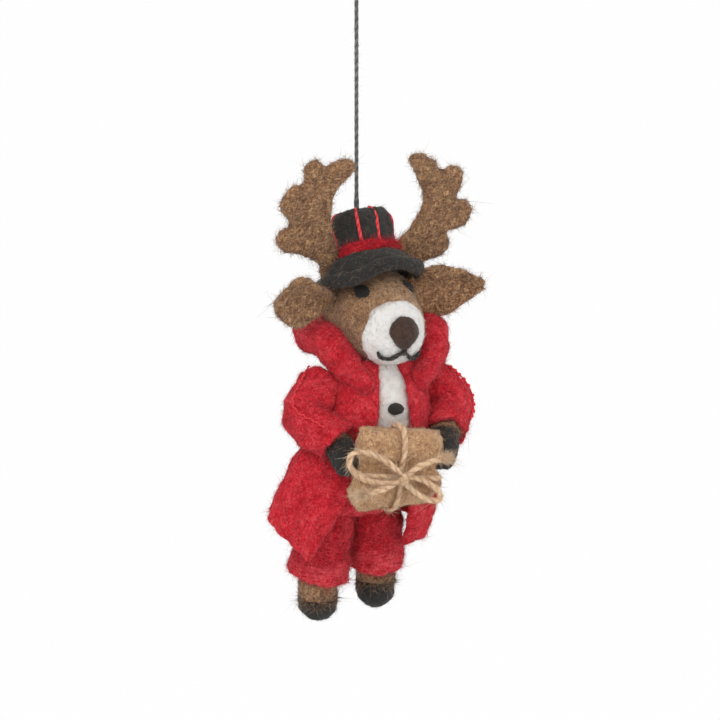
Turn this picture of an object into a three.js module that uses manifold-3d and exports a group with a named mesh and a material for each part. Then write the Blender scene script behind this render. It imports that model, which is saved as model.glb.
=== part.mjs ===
// A needle-felted reindeer ornament in a felt coat, baggy trousers and a top hat, holding a tied parcel
// and hanging on a twisted cord.
//
// Lengths are millimetres and angles are degrees. +Z is up, the figure faces -Y, and its left hand is on +X.
// The model's origin is the inside top of the hanging eye. The figure itself is laid out from the crown's top
// centre, where the cord enters the hat, as distances out (+X), forward (-Y) and down (-Z).

import * as THREE from "three";
import { mergeVertices } from "three/addons/utils/BufferGeometryUtils.js";
import Module from "manifold-3d";

const wasm = await Module();
wasm.setup();

// Fits
const gap = 0.3;
const mergeDistance = 0.00001;

// Hanging cord
const cordDiameter = 1.25;
const hatDrop = 85.5;
const eyeWidth = 10;
const eyeLength = 15;
const eyeKnotDiameter = 3.8;
const anchorKnotDiameter = 3.4;
const anchorDepth = 5.5;

// Head, laid out from the skull's centre along the line from the skull to the muzzle
const headForward = 8.4;
const headDown = 29.4;
const headPitch = 18;
const skullRadius = 14.6;
const skullBack = 14;
const muzzleReach = 24;
const muzzleTaperPower = 1.35;
const muzzleBluntPower = 0.4;
const patchStart = 13.8;
const patchThickness = 1.2;

// Face, each place as distance aside and rise from the muzzle's line
const noseAside = -1.4;
const noseRise = 4.4;
const noseWidth = 9.2;
const noseHeight = 9.6;
const noseDepth = 5.2;
const eyeAside = 8.2;
const eyeRise = 10.9;
const eyeSpotWidth = 5.2;
const eyeSpotHeight = 4.2;
const eyeSpotDepth = 2;
const mouthHalfWidth = 6.8;
const mouthDrop = 4.4;
const mouthRise = -1.8;
const mouthStrandDiameter = 1.2;

// Ears, from the side of the skull to the tip
const earRootOut = 12.2;
const earRootForward = -1;
const earReach = 24.4;
const earTipForward = 4.8;
const earWidth = 17.4;
const earThickness = 2.2;
const earRightRise = 10.8;
const earRightDroop = 9;
const earRightCup = 6.5;
const earLeftRise = 6.6;
const earLeftDroop = -1.2;
const earLeftCup = 2.6;

// Antlers, flat felt blades that stand behind the skull's centre
const antlerOut = 15.6;
const antlerRise = 15;
const antlerBack = 7.2;
const antlerHeight = 36;
const antlerSpread = 20;
const antlerThickness = 3.2;
const antlerEdgeRadius = 1.1;

// Top hat, laid out from the crown's top centre down its own axis
const hatTilt = 27;
const hatTurn = -5;
const crownHeight = 15.9;
const crownRadius = 9.4;
const crownTopRadius = 8.7;
const crownEdgeRadius = 2.4;
const crownSeat = 3;
const bandHeight = 2.6;
const bandThickness = 0.8;
const bandBulge = 0.2;
const brimRadius = 17.2;
const brimThickness = 4.4;
const brimRootThickness = 2.4;
const brimDroop = 8.6;
const hatStripeDiameter = 0.9;
const hatStripeTopRadius = 2.6;
const hatStripeAngles = [-130, -79, -26, 9, 65, 115, 170];

// Torso, a stuffed white body, as stations down from the neck
const torsoTop = 41;
const torsoLength = 37;
const torsoHalfWidth = 12.5;
const torsoHalfDepth = 11.3;
const torsoForward = 13;
const buttonDiameter = 5;
const buttonThickness = 2.2;
const buttonDown = 57.4;

// Trousers and legs
const trouserTop = torsoTop + torsoLength + gap;
const seatDepth = 15.5;
const seatHalfWidth = 15.5;
const seatHalfDepth = 11.5;
const seatForward = 6.5;
const hipAside = 7.6;
const hipForward = 3.9;
const hipDown = 87;
const figureLean = -2;
const legRadius = 6;
const legAside = 10.4;
const legBack = 2.6;
const legRightDown = 128.3;
const legLeftDown = 126.4;
const trouserLegRadius = 8.1;
const trouserRightCuffRadius = 9.7;
const trouserLeftCuffRadius = 8.5;
const trouserRightCuffDown = 113.4;
const trouserLeftCuffDown = 111.2;
const legRise = 13.4;
const legTop = trouserRightCuffDown - legRise;
const rearHoofRightHeight = 6.8;
const rearHoofLeftHeight = 8.6;

// Arms and sleeves
const shoulderAside = 15;
const shoulderForward = 8;
const shoulderDown = 48.5;
const elbowAside = 26.3;
const elbowForward = 13;
const elbowDown = 60;
const cuffAside = 19.6;
const cuffForward = 21.8;
const cuffDown = 67;
const sleeveShoulderRadius = 6.6;
const sleeveElbowRadius = 7.7;
const sleeveCuffRadius = 7.4;
const armRadius = 4.3;
const handRightAside = -17.2;
const handRightForward = 29.6;
const handRightDown = 75;
const handLeftAside = 13.4;
const handLeftForward = 28.6;
const handLeftDown = 76.4;
const frontHoofRightLength = 15;
const frontHoofLeftLength = 9.5;
const seamThreadDiameter = 0.9;

// Coat, a thick felt sheet hung round the body, as stations down from the neck
const coatTop = 41.5;
const coatLength = 63.5;
const coatHalfWidth = 28.2;
const coatSway = -7.3;
const coatHalfDepth = 17.6;
const coatForward = 12.5;
const coatThickness = 2.2;
const coatFoldDepth = 1.3;
const coatFoldCount = 7;
const coatSideSeamAngle = 100;
const coatSeamGapAngle = 1.6;
const coatRows = 10;
const coatNeckShare = 0.02;

// Shawl collar, one thick roll round the neck that thins into the lapels
const collarRadius = 5.8;
const collarLapelRadius = 3.4;
const collarRightAside = 19;
const collarLeftAside = 20.8;
const collarSideForward = 9.2;
const collarThroatForward = 16.4;
const collarBack = 7;
const collarBackDown = 37.5;
const collarSideDown = 37.2;
const lapelAside = 7.2;
const lapelForward = 22.4;
const lapelDown = 51.5;

// Parcel and its twine
const parcelWidth = 30;
const parcelHeight = 24.5;
const parcelDepth = 10;
const parcelAside = -3.8;
const parcelForward = 31.2;
const parcelDown = 74.2;
const parcelRoll = 8;
const parcelFootTilt = 12;
const parcelWaistDown = 2.2;
const twineDiameter = 2;
const twineSink = 0.7;
const twineAside = -1;
const bowKnotDiameter = 4.2;
const bowLoopReach = 19;
const bowLoopWidth = 7.4;
const bowTailReach = 18;

// Colours of the wool, felt and twine
const brownWool = { color: 0x7d5a3e, roughness: 1, metalness: 0 };
const blackWool = { color: 0x2d2c2b, roughness: 1, metalness: 0 };
const whiteWool = { color: 0xe1dfd8, roughness: 1, metalness: 0 };
const darkNoseWool = { color: 0x3a2a24, roughness: 1, metalness: 0 };
const redFelt = { color: 0xbb2230, roughness: 1, metalness: 0 };
const redThread = { color: 0xd7373c, roughness: 0.8, metalness: 0 };
const tanFelt = { color: 0xaf8c69, roughness: 1, metalness: 0 };
const juteTwine = { color: 0xd7b487, roughness: 0.9, metalness: 0 };
const cottonCord = { color: 0x5f5f5c, roughness: 0.9, metalness: 0 };

// Basic helpers

const radians = THREE.MathUtils.degToRad;

function at(out, forward, down) {
  return new THREE.Vector3(out, -forward, -down);
}

function outwardFacing(geometry) {
  const position = geometry.getAttribute("position");
  const index = geometry.getIndex();
  const corners = [new THREE.Vector3(), new THREE.Vector3(), new THREE.Vector3()];
  let volume = 0;
  for (let i = 0; i < index.count; i += 3) {
    corners.forEach((corner, k) => corner.fromBufferAttribute(position, index.getX(i + k)));
    volume += corners[0].dot(corners[1].clone().cross(corners[2]));
  }
  if (volume < 0) {
    for (let i = 0; i < index.count; i += 3) {
      const first = index.getX(i);
      index.setX(i, index.getX(i + 1));
      index.setX(i + 1, first);
    }
  }
  return geometry;
}

function geometryFrom(vertices, triangles) {
  const geometry = new THREE.BufferGeometry();
  geometry.setFromPoints(vertices);
  geometry.setIndex(triangles);
  return outwardFacing(geometry);
}

function bare(geometry) {
  const copy = geometry.clone();
  copy.deleteAttribute("normal");
  copy.deleteAttribute("uv");
  return mergeVertices(copy, mergeDistance);
}

function solidOf(geometry) {
  const merged = bare(geometry);
  return new wasm.Manifold(new wasm.Mesh({
    numProp: 3,
    vertProperties: new Float32Array(merged.getAttribute("position").array),
    triVerts: new Uint32Array(merged.getIndex().array),
  }));
}

function geometryOf(solid) {
  const mesh = solid.getMesh();
  const geometry = new THREE.BufferGeometry();
  geometry.setAttribute("position", new THREE.BufferAttribute(mesh.vertProperties, mesh.numProp));
  geometry.setIndex(new THREE.BufferAttribute(mesh.triVerts, 1));
  return geometry;
}

function cut(geometry, ...cutters) {
  return geometryOf(cutters.reduce((solid, cutter) => solid.subtract(solidOf(cutter)), solidOf(geometry)));
}

function join(...geometries) {
  return geometryOf(geometries.map(solidOf).reduce((whole, solid) => whole.add(solid)));
}

// The largest solid that a cut leaves, without the slivers that are trimmed away
function mainPiece(geometry) {
  const pieces = solidOf(geometry).decompose();
  return geometryOf(pieces.reduce((main, piece) => (piece.volume() > main.volume() ? piece : main)));
}

function keepInside(geometry, keeper) {
  return geometryOf(solidOf(geometry).intersect(solidOf(keeper)));
}

function part(name, finish, geometry) {
  const shown = geometry.clone();
  shown.computeVertexNormals();
  const mesh = new THREE.Mesh(shown, new THREE.MeshStandardMaterial(finish));
  mesh.name = name;
  return mesh;
}

// A smooth value between hand-chosen stations, at a share from 0 to 1 of their run
function alongShares(stations, share) {
  const curve = new THREE.CatmullRomCurve3(stations.map((value) => new THREE.Vector3(value)));
  return curve.getPoint(THREE.MathUtils.clamp(share, 0, 1)).x;
}

// A closed body over rings of points, with a fan to one point at each end
function bodyOverRings(rings, startPoint, endPoint) {
  const sides = rings[0].length;
  const triangles = [];
  for (let ring = 0; ring + 1 < rings.length; ring += 1) {
    for (let k = 0; k < sides; k += 1) {
      const next = (k + 1) % sides;
      const a = ring * sides + k;
      const b = ring * sides + next;
      triangles.push(a, b, a + sides, b, b + sides, a + sides);
    }
  }
  const start = rings.length * sides;
  const last = (rings.length - 1) * sides;
  for (let k = 0; k < sides; k += 1) {
    const next = (k + 1) % sides;
    triangles.push(start, next, k);
    triangles.push(start + 1, last + k, last + next);
  }
  return geometryFrom([...rings.flat(), startPoint, endPoint], triangles);
}

// A closed band whose rings of points follow each other round and meet again
function bandOverRings(rings) {
  const sides = rings[0].length;
  const triangles = [];
  rings.forEach((ring, r) => {
    const after = (r + 1) % rings.length;
    for (let k = 0; k < sides; k += 1) {
      const next = (k + 1) % sides;
      triangles.push(r * sides + k, r * sides + next, after * sides + k);
      triangles.push(r * sides + next, after * sides + next, after * sides + k);
    }
  });
  return geometryFrom(rings.flat(), triangles);
}

// A limb of round section that swells and tapers along a path of points
class Limb {
  constructor(points, radii, { roundStart = true, roundEnd = true, reference } = {}) {
    this.curve = new THREE.CatmullRomCurve3(points);
    this.radii = radii;
    this.roundStart = roundStart;
    this.roundEnd = roundEnd;
    this.reference = reference ?? new THREE.Vector3(0, 1, 0);
    this.length = this.curve.getLength();
  }

  radiusAt(share) {
    return alongShares(this.radii, share);
  }

  // The point on the skin at a share of the limb, on the side that faces the given direction
  skinPoint(share, facing, lift) {
    const tangent = this.curve.getTangent(share);
    const side = facing.clone().addScaledVector(tangent, -facing.dot(tangent)).normalize();
    return this.curve.getPoint(share).addScaledVector(side, this.radiusAt(share) + lift);
  }

  // Shares along the limb with how far each ring swells, closer together over the round ends
  stations(steps) {
    const capAngles = [30, 60];
    const capStation = (angle, radius) => [
      (radius / this.length) * (1 - Math.cos(radians(angle))), Math.sin(radians(angle))];
    const startCap = this.roundStart ? capAngles.map((angle) => capStation(angle, this.radiusAt(0))) : [];
    const endCap = this.roundEnd ? capAngles.map((angle) => capStation(angle, this.radiusAt(1))) : [];
    const from = this.roundStart ? this.radiusAt(0) / this.length : 0;
    const to = this.roundEnd ? 1 - this.radiusAt(1) / this.length : 1;
    const body = [];
    for (let i = 0; i <= steps; i += 1) {
      body.push([from + ((to - from) * i) / steps, 1]);
    }
    return [...startCap, ...body, ...endCap.reverse().map(([share, swell]) => [1 - share, swell])];
  }

  geometry(sides, steps, grow = 0) {
    const rings = this.stations(steps).map(([share, swell]) => this.ring(share, swell, sides, grow));
    const start = this.curve.getPoint(0).addScaledVector(this.curve.getTangent(0), -grow);
    const end = this.curve.getPoint(1).addScaledVector(this.curve.getTangent(1), grow);
    return bodyOverRings(rings, start, end);
  }

  ring(share, swell, sides, grow) {
    const centre = this.curve.getPoint(share);
    const tangent = this.curve.getTangent(share);
    const side = this.reference.clone().cross(tangent).normalize();
    const rise = tangent.clone().cross(side);
    const radius = this.radiusAt(share) * swell + grow;
    const endShift = share < 0.5 ? -grow : grow;
    const shift = share === 0 || share === 1 ? endShift : endShift * (1 - swell);
    const points = [];
    for (let k = 0; k < sides; k += 1) {
      const angle = (2 * Math.PI * k) / sides;
      points.push(centre.clone()
        .addScaledVector(side, radius * Math.cos(angle))
        .addScaledVector(rise, radius * Math.sin(angle))
        .addScaledVector(tangent, shift));
    }
    return points;
  }
}

// A strand: an even tube along a smooth path
function strand(points, diameter, sides, steps) {
  const section = new THREE.Shape();
  section.absarc(0, 0, diameter / 2, 0, 2 * Math.PI);
  return new THREE.ExtrudeGeometry(section, {
    extrudePath: new THREE.CatmullRomCurve3(points),
    steps,
    curveSegments: sides / 2,
  });
}

// A sheet of even thickness over a surface given at two shares
function sheet(surface, columns, rows, thickness) {
  const step = 0.001;
  const faces = [[], []];
  for (let i = 0; i <= columns; i += 1) {
    for (let j = 0; j <= rows; j += 1) {
      const u = i / columns;
      const v = j / rows;
      const along = surface(Math.min(u + step, 1), v).sub(surface(Math.max(u - step, 0), v));
      const across = surface(u, Math.min(v + step, 1)).sub(surface(u, Math.max(v - step, 0)));
      const normal = along.cross(across).normalize();
      faces[0].push(surface(u, v).addScaledVector(normal, thickness / 2));
      faces[1].push(surface(u, v).addScaledVector(normal, -thickness / 2));
    }
  }
  const triangles = [];
  const count = faces[0].length;
  const index = (face, i, j) => face * count + i * (rows + 1) + j;
  const quad = (a, b, c, d) => triangles.push(a, b, c, a, c, d);
  for (let i = 0; i < columns; i += 1) {
    for (let j = 0; j < rows; j += 1) {
      quad(index(0, i, j), index(0, i + 1, j), index(0, i + 1, j + 1), index(0, i, j + 1));
      quad(index(1, i, j), index(1, i, j + 1), index(1, i + 1, j + 1), index(1, i + 1, j));
    }
  }
  for (let i = 0; i < columns; i += 1) {
    quad(index(0, i, 0), index(1, i, 0), index(1, i + 1, 0), index(0, i + 1, 0));
    quad(index(0, i, rows), index(0, i + 1, rows), index(1, i + 1, rows), index(1, i, rows));
  }
  for (let j = 0; j < rows; j += 1) {
    quad(index(0, 0, j), index(0, 0, j + 1), index(1, 0, j + 1), index(1, 0, j));
    quad(index(0, columns, j), index(1, columns, j), index(1, columns, j + 1), index(0, columns, j + 1));
  }
  return geometryFrom([...faces[0], ...faces[1]], triangles);
}

function ellipsoid(width, depth, height, place, turn = new THREE.Quaternion()) {
  const ball = new THREE.SphereGeometry(1, 12, 8);
  ball.scale(width / 2, depth / 2, height / 2);
  ball.applyQuaternion(turn);
  ball.translate(place.x, place.y, place.z);
  return ball;
}

// A body of stacked level ellipses, each station given as centre and half sizes
function stackedBody(levels, stationAt, sides) {
  const rings = [];
  for (let i = 0; i <= levels; i += 1) {
    const { centre, halfWidth, halfDepth } = stationAt(i / levels);
    const ring = [];
    for (let k = 0; k < sides; k += 1) {
      const angle = (2 * Math.PI * k) / sides;
      ring.push(new THREE.Vector3(halfWidth * Math.sin(angle), -halfDepth * Math.cos(angle), 0).add(centre));
    }
    rings.push(ring);
  }
  return bodyOverRings(rings, stationAt(0).centre, stationAt(1).centre);
}

// Head

const headPose = new THREE.Matrix4().makeTranslation(at(0, headForward, headDown))
  .multiply(new THREE.Matrix4().makeRotationX(radians(headPitch)));

// The head's radius at a distance ahead of the skull's centre, for a surface set in by an inset
function headRadiusAhead(ahead, inset) {
  const share = Math.min(ahead / (muzzleReach - inset), 1);
  return (skullRadius - inset) * (1 - share ** muzzleTaperPower) ** muzzleBluntPower;
}

// How far ahead of the skull's centre the face lies at a distance from the muzzle's line
function faceReach(radius, inset) {
  const share = radius / (skullRadius - inset);
  return (muzzleReach - inset) * (1 - share ** (1 / muzzleBluntPower)) ** (1 / muzzleTaperPower);
}

function facePoint(aside, rise, inset) {
  return new THREE.Vector3(aside, -faceReach(Math.hypot(aside, rise), inset), rise);
}

function faceTurn(aside, rise) {
  const reachShare = 0.01;
  const reach = reachShare * skullRadius;
  const across = facePoint(aside + reach, rise, 0).sub(facePoint(aside - reach, rise, 0));
  const up = facePoint(aside, rise + reach, 0).sub(facePoint(aside, rise - reach, 0));
  const normal = up.cross(across).normalize();
  return new THREE.Quaternion().setFromUnitVectors(new THREE.Vector3(0, -1, 0), normal);
}

// Points of the head's profile between two distances ahead, closer together towards the tip
function frontProfile(from, inset, count) {
  const points = [];
  const tip = muzzleReach - inset;
  for (let i = 0; i <= count; i += 1) {
    const ahead = from + (tip - from) * Math.sin((Math.PI / 2) * (i / count));
    points.push(new THREE.Vector2(i === count ? 0 : headRadiusAhead(ahead, inset), ahead));
  }
  return points;
}

function backProfile(inset, count) {
  const points = [];
  for (let i = 0; i < count; i += 1) {
    const angle = (Math.PI / 2) * (i / count);
    points.push(new THREE.Vector2(
      (skullRadius - inset) * Math.sin(angle), -(skullBack - inset) * Math.cos(angle)));
  }
  return points;
}

function turnedForward(profile, sides) {
  const geometry = bare(new THREE.LatheGeometry(profile, sides));
  geometry.rotateX(Math.PI);
  return outwardFacing(geometry);
}

// The whole head with its muzzle cap, grown by a clearance, as a cutter for its neighbours
function headCutter(grow) {
  return turnedForward([...backProfile(-grow, 5), ...frontProfile(0, -grow, 9)], 24)
    .applyMatrix4(headPose);
}

function headGeometry() {
  const coreInset = patchThickness + gap;
  const shoulderShares = [0, 1 / 3, 2 / 3, 1];
  const cheeks = shoulderShares.map((share) => {
    const ahead = share * (patchStart - gap);
    return new THREE.Vector2(headRadiusAhead(ahead, 0), ahead);
  });
  return turnedForward([
    ...backProfile(0, 5), ...cheeks, ...frontProfile(patchStart - gap, coreInset, 3)], 24)
    .applyMatrix4(headPose);
}

function muzzlePatchGeometry() {
  const outer = frontProfile(patchStart, 0, 6);
  const inner = frontProfile(patchStart, patchThickness, 3).reverse();
  return turnedForward([...inner, ...outer], 20).applyMatrix4(headPose);
}

function noseGeometry() {
  const ball = ellipsoid(noseWidth, noseDepth, noseHeight, facePoint(noseAside, noseRise, 0),
    faceTurn(noseAside, noseRise));
  return cut(ball.applyMatrix4(headPose), headCutter(gap));
}

function eyeGeometry(side) {
  const spot = ellipsoid(eyeSpotWidth, eyeSpotDepth, eyeSpotHeight, facePoint(side * eyeAside, eyeRise, 0),
    faceTurn(side * eyeAside, eyeRise));
  return cut(spot.applyMatrix4(headPose), headCutter(gap));
}

function mouthGeometry() {
  const lift = -(gap + mouthStrandDiameter / 2);
  const lipShares = [[-1, -0.15], [-0.85, -0.62], [-0.52, -0.6], [0, 0.1],
    [0.5, -0.6], [0.83, -0.55], [1, -0.1]];
  const stemShares = [[0, -0.1], [0, 0.28], [0, 0.52]];
  const onFace = ([asideShare, dropShare]) => facePoint(
    noseAside + asideShare * mouthHalfWidth, mouthRise + dropShare * mouthDrop, lift);
  const lips = strand(lipShares.map(onFace), mouthStrandDiameter, 6, 16);
  const stem = strand(stemShares.map(onFace), mouthStrandDiameter, 6, 4);
  return cut(join(lips, stem).applyMatrix4(headPose), noseCutter());
}

function noseCutter() {
  const ball = ellipsoid(noseWidth + 2 * gap, noseDepth + 2 * gap, noseHeight + 2 * gap,
    facePoint(noseAside, noseRise, 0), faceTurn(noseAside, noseRise));
  return ball.applyMatrix4(headPose);
}

// Ears: cupped leaves of felt whose upper and lower edges are shares of the ear's width
function earSheet(side, rise, droop, cup, grow = 0) {
  const upperShares = [0.2, 0.4, 0.47, 0.42, 0.26, 0.03];
  const lowerShares = [-0.26, -0.46, -0.53, -0.47, -0.28, -0.03];
  const earTipShare = 0.4;
  const surface = (u, v) => {
    const upper = alongShares(upperShares, u) * earWidth + grow;
    const lower = alongShares(lowerShares, u) * earWidth - grow;
    const height = lower + (upper - lower) * v;
    const spread = 2 * v - 1;
    const curl = cup * spread ** 2 * (1 - earTipShare * u);
    return new THREE.Vector3(
      side * (earRootOut + earReach * u),
      -(earRootForward + earTipForward * u + curl),
      rise + height - droop * u ** 2);
  };
  return sheet(surface, 8, 6, earThickness + 2 * grow).applyMatrix4(headPose);
}

const rightEar = [-1, earRightRise, earRightDroop, earRightCup];
const leftEar = [1, earLeftRise, earLeftDroop, earLeftCup];

function earGeometry(ear) {
  return mainPiece(cut(earSheet(...ear), headCutter(gap), brimRing(gap)));
}

// Antlers: outlines in shares of spread and height, from the inner foot round the tips to the outer foot
const rightAntlerShares = [
  [-0.44, -0.27], [-0.28, 0.04], [-0.06, 0.3], [0.02, 0.52], [-0.03, 0.7], [-0.26, 0.86], [-0.24, 0.95],
  [-0.03, 0.98], [0.24, 0.93], [0.42, 0.99], [0.6, 0.94], [0.6, 0.77], [0.74, 0.77], [0.93, 0.58],
  [0.71, 0.4], [0.88, 0.32], [0.83, 0.17], [0.5, 0.06], [0.2, -0.08], [-0.02, -0.3], [-0.24, -0.37],
];
const leftAntlerShares = [
  [-0.44, -0.27], [-0.3, 0.06], [-0.1, 0.24], [0.05, 0.4], [0.07, 0.54], [-0.16, 0.78], [-0.32, 0.93],
  [-0.15, 0.97], [0.06, 0.92], [0.33, 0.79], [0.45, 0.82], [0.66, 0.78], [0.71, 0.66], [0.66, 0.51],
  [0.85, 0.47], [0.98, 0.36], [0.9, 0.24], [0.6, 0.18], [0.68, 0.07], [0.58, -0.03], [0.24, -0.1],
  [-0.02, -0.3], [-0.24, -0.37],
];

function antlerGeometry(side, shares, grow = 0) {
  const outline = new THREE.CatmullRomCurve3(shares.map(([out, rise]) => new THREE.Vector3(
    side * out * antlerSpread, rise * antlerHeight, 0)), true, "centripetal");
  const outlinePoints = outline.getPoints(46).slice(0, -1);
  const shape = new THREE.Shape(outlinePoints.map(({ x, y }) => new THREE.Vector2(x, y)));
  const blade = new THREE.ExtrudeGeometry(shape, {
    depth: antlerThickness - 2 * antlerEdgeRadius + 2 * grow,
    bevelThickness: antlerEdgeRadius,
    bevelSize: antlerEdgeRadius,
    bevelOffset: grow - antlerEdgeRadius,
    bevelSegments: 1,
  });
  blade.translate(0, 0, antlerEdgeRadius - antlerThickness / 2 - grow);
  blade.rotateX(Math.PI / 2);
  blade.translate(side * antlerOut, antlerBack, antlerRise);
  return blade.applyMatrix4(headPose);
}

function trimmedAntler(side, shares) {
  return cut(antlerGeometry(side, shares), headCutter(gap), crownCutter());
}

// Top hat

const hatPose = new THREE.Matrix4().makeRotationZ(radians(hatTurn))
  .multiply(new THREE.Matrix4().makeRotationX(-radians(hatTilt)));

// The crown's outside as radius and height, with the height measured up from the brim
function crownProfile(grow) {
  const edge = [];
  for (let i = 0; i <= 3; i += 1) {
    const angle = (Math.PI / 2) * (i / 3);
    edge.push(new THREE.Vector2(
      crownTopRadius + grow - crownEdgeRadius * (1 - Math.cos(angle)),
      crownHeight + grow - crownEdgeRadius * (1 - Math.sin(angle))));
  }
  const waistShare = 0.4;
  const swellShare = 0.1;
  const swell = swellShare * (crownRadius - crownTopRadius);
  return [new THREE.Vector2(crownRadius + grow, 0),
    new THREE.Vector2(crownRadius + swell + grow, crownHeight * waistShare), ...edge];
}

function crownBody(grow) {
  const profile = [
    new THREE.Vector2(0, -crownSeat - grow),
    new THREE.Vector2(crownRadius + grow, -crownSeat - grow),
    ...crownProfile(grow), new THREE.Vector2(0, crownHeight + grow)];
  const crown = bare(new THREE.LatheGeometry(profile, 24));
  crown.rotateX(Math.PI / 2);
  crown.translate(0, 0, -crownHeight);
  return outwardFacing(crown).applyMatrix4(hatPose);
}

function crownGeometry() {
  return cut(crownBody(0), cordBore(), anchorCavity(), headCutter(gap));
}

// The crown with its band, grown by a clearance, as a cutter for the antlers beside it
function crownCutter() {
  return crownBody(bandThickness + bandBulge + 2 * gap);
}

function cordBore() {
  const bore = new THREE.CylinderGeometry(
    cordDiameter / 2 + gap, cordDiameter / 2 + gap, anchorDepth + crownEdgeRadius, 12);
  bore.rotateX(Math.PI / 2);
  bore.translate(0, 0, (crownEdgeRadius - anchorDepth) / 2);
  return bore;
}

function anchorCavity() {
  const size = anchorKnotDiameter + 2 * gap;
  return ellipsoid(size, size, size, at(0, 0, anchorDepth));
}

// A ring round the hat's axis, from profile points of radius and height at each angle
function hatRing(steps, profileAt) {
  const rings = [];
  for (let i = 0; i < steps; i += 1) {
    const angle = (2 * Math.PI * i) / steps;
    rings.push(profileAt(angle).map(({ x, y }) => new THREE.Vector3(
      x * Math.sin(angle), -x * Math.cos(angle), y - crownHeight)));
  }
  return bandOverRings(rings).applyMatrix4(hatPose);
}

function bandGeometry() {
  const inside = crownRadius + gap;
  const outside = inside + bandThickness;
  const rest = gap + brimRootThickness / 2;
  const profile = [[inside, rest], [outside, rest], [outside + bandBulge, rest + bandHeight / 2],
    [outside, rest + bandHeight], [inside, rest + bandHeight]];
  return hatRing(24, () => profile.map(([radius, height]) => new THREE.Vector2(radius, height)));
}

// How far the brim's edge droops, as shares of the full droop at even angles round from the front
const brimDroopShares = [0.55, 0.6, 0.5, 0.45, 0.5, 0.45, 0.6, 1.05];

function brimDroopAt(angle) {
  const place = (angle / (2 * Math.PI)) * brimDroopShares.length;
  const before = Math.floor(place) % brimDroopShares.length;
  const after = (before + 1) % brimDroopShares.length;
  const blend = (1 - Math.cos(Math.PI * (place - Math.floor(place)))) / 2;
  return brimDroop * THREE.MathUtils.lerp(brimDroopShares[before], brimDroopShares[after], blend);
}

// The drooping brim, thin at the crown and thick at its rolled edge
function brimRing(grow = 0) {
  const inside = crownRadius + gap - grow;
  const reach = brimRadius - brimThickness / 2 - inside;
  const sagPower = 1.6;
  const edgeAngles = [50, 0, -50];
  const edgeRadius = brimThickness / 2 + grow;
  const profileAt = (angle) => {
    const drop = (share) => -brimDroopAt(angle) * share ** sagPower;
    const half = (share) => THREE.MathUtils.lerp(brimRootThickness, brimThickness, share) / 2 + grow;
    const runShares = [0, 0.5, 1];
    const top = runShares.map((share) => new THREE.Vector2(
      inside + reach * share, drop(share) + half(share)));
    const edge = edgeAngles.map((turn) => new THREE.Vector2(
      inside + reach + edgeRadius * Math.cos(radians(turn)), drop(1) + edgeRadius * Math.sin(radians(turn))));
    const under = runShares.slice().reverse().map((share) => new THREE.Vector2(
      inside + reach * share, drop(share) - half(share)));
    return [...top, ...edge, ...under];
  };
  return hatRing(24, profileAt);
}

function brimGeometry() {
  return mainPiece(cut(brimRing(), headCutter(gap),
    antlerGeometry(-1, rightAntlerShares, gap), antlerGeometry(1, leftAntlerShares, gap)));
}

function hatStripeGeometry(angle) {
  const lift = gap + hatStripeDiameter / 2;
  const foot = gap + brimRootThickness / 2 + bandHeight + gap + hatStripeDiameter / 2;
  const climb = crownProfile(lift).filter((point) => point.y > foot);
  const path = [new THREE.Vector2(crownRadius + lift, foot), ...climb,
    new THREE.Vector2(hatStripeTopRadius, crownHeight + lift)];
  const turn = radians(angle);
  const points = path.map(({ x, y }) => new THREE.Vector3(
    x * Math.sin(turn), -x * Math.cos(turn), y - crownHeight));
  return strand(points, hatStripeDiameter, 6, 8).applyMatrix4(hatPose);
}

// Torso and button

// The torso's level station at a share down its length
function torsoStation(share, grow = 0) {
  const widthShares = [0.5, 0.92, 1, 0.97, 0.94];
  const depthShares = [0.55, 0.87, 1, 0.96, 0.88];
  const forwardShares = [0.92, 0.98, 1, 0.9, 0.7];
  const leanShare = 0.5;
  return {
    centre: at(figureLean * leanShare * share ** 2, torsoForward * alongShares(forwardShares, share),
      torsoTop + torsoLength * share),
    halfWidth: torsoHalfWidth * alongShares(widthShares, share) + grow,
    halfDepth: torsoHalfDepth * alongShares(depthShares, share) + grow,
  };
}

function torsoCutter() {
  return stackedBody(9, (share) => torsoStation(share, gap), 20);
}

function torsoGeometry() {
  return cut(stackedBody(9, (share) => torsoStation(share), 20), headCutter(gap));
}

function buttonGeometry() {
  const share = (buttonDown - torsoTop) / torsoLength;
  const { centre, halfDepth } = torsoStation(share);
  const profileShares = [[0, 0], [0.8, 0], [1, 0.3], [0.95, 0.7], [0.6, 0.95], [0, 1]];
  const profile = profileShares.map(([radius, height]) => new THREE.Vector2(
    radius * buttonDiameter / 2, height * buttonThickness));
  const button = bare(new THREE.LatheGeometry(profile, 16));
  button.rotateX(Math.PI / 2);
  const proudShare = 0.1;
  const place = centre.clone().add(at(0, halfDepth + buttonThickness * proudShare, 0));
  button.translate(place.x, place.y, place.z);
  return cut(outwardFacing(button), torsoCutter());
}

// Coat

// The coat's level station at a share down its length
function coatStation(share, grow = 0) {
  const widthShares = [0.36, 0.6, 0.64, 0.69, 0.81, 0.97, 1, 0.98];
  const depthShares = [0.48, 0.73, 0.78, 0.78, 0.82, 0.92, 1, 1];
  const forwardShares = [0.85, 0.94, 1, 0.9, 0.72, 0.5, 0.28, 0.08];
  return {
    centre: at(coatSway * share ** 2, coatForward * alongShares(forwardShares, share),
      coatTop + coatLength * share),
    halfWidth: coatHalfWidth * alongShares(widthShares, share) + grow,
    halfDepth: coatHalfDepth * alongShares(depthShares, share) + grow,
  };
}

// A point on the coat's middle surface. Angles run from the front towards the left hand.
function coatPoint(angle, share) {
  const { centre, halfWidth, halfDepth } = coatStation(share, -coatThickness / 2);
  const wave = coatFoldDepth * share ** 2 * Math.sin(coatFoldCount * angle);
  return new THREE.Vector3(
    (halfWidth + wave) * Math.sin(angle), -(halfDepth + wave) * Math.cos(angle), 0).add(centre);
}

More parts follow.
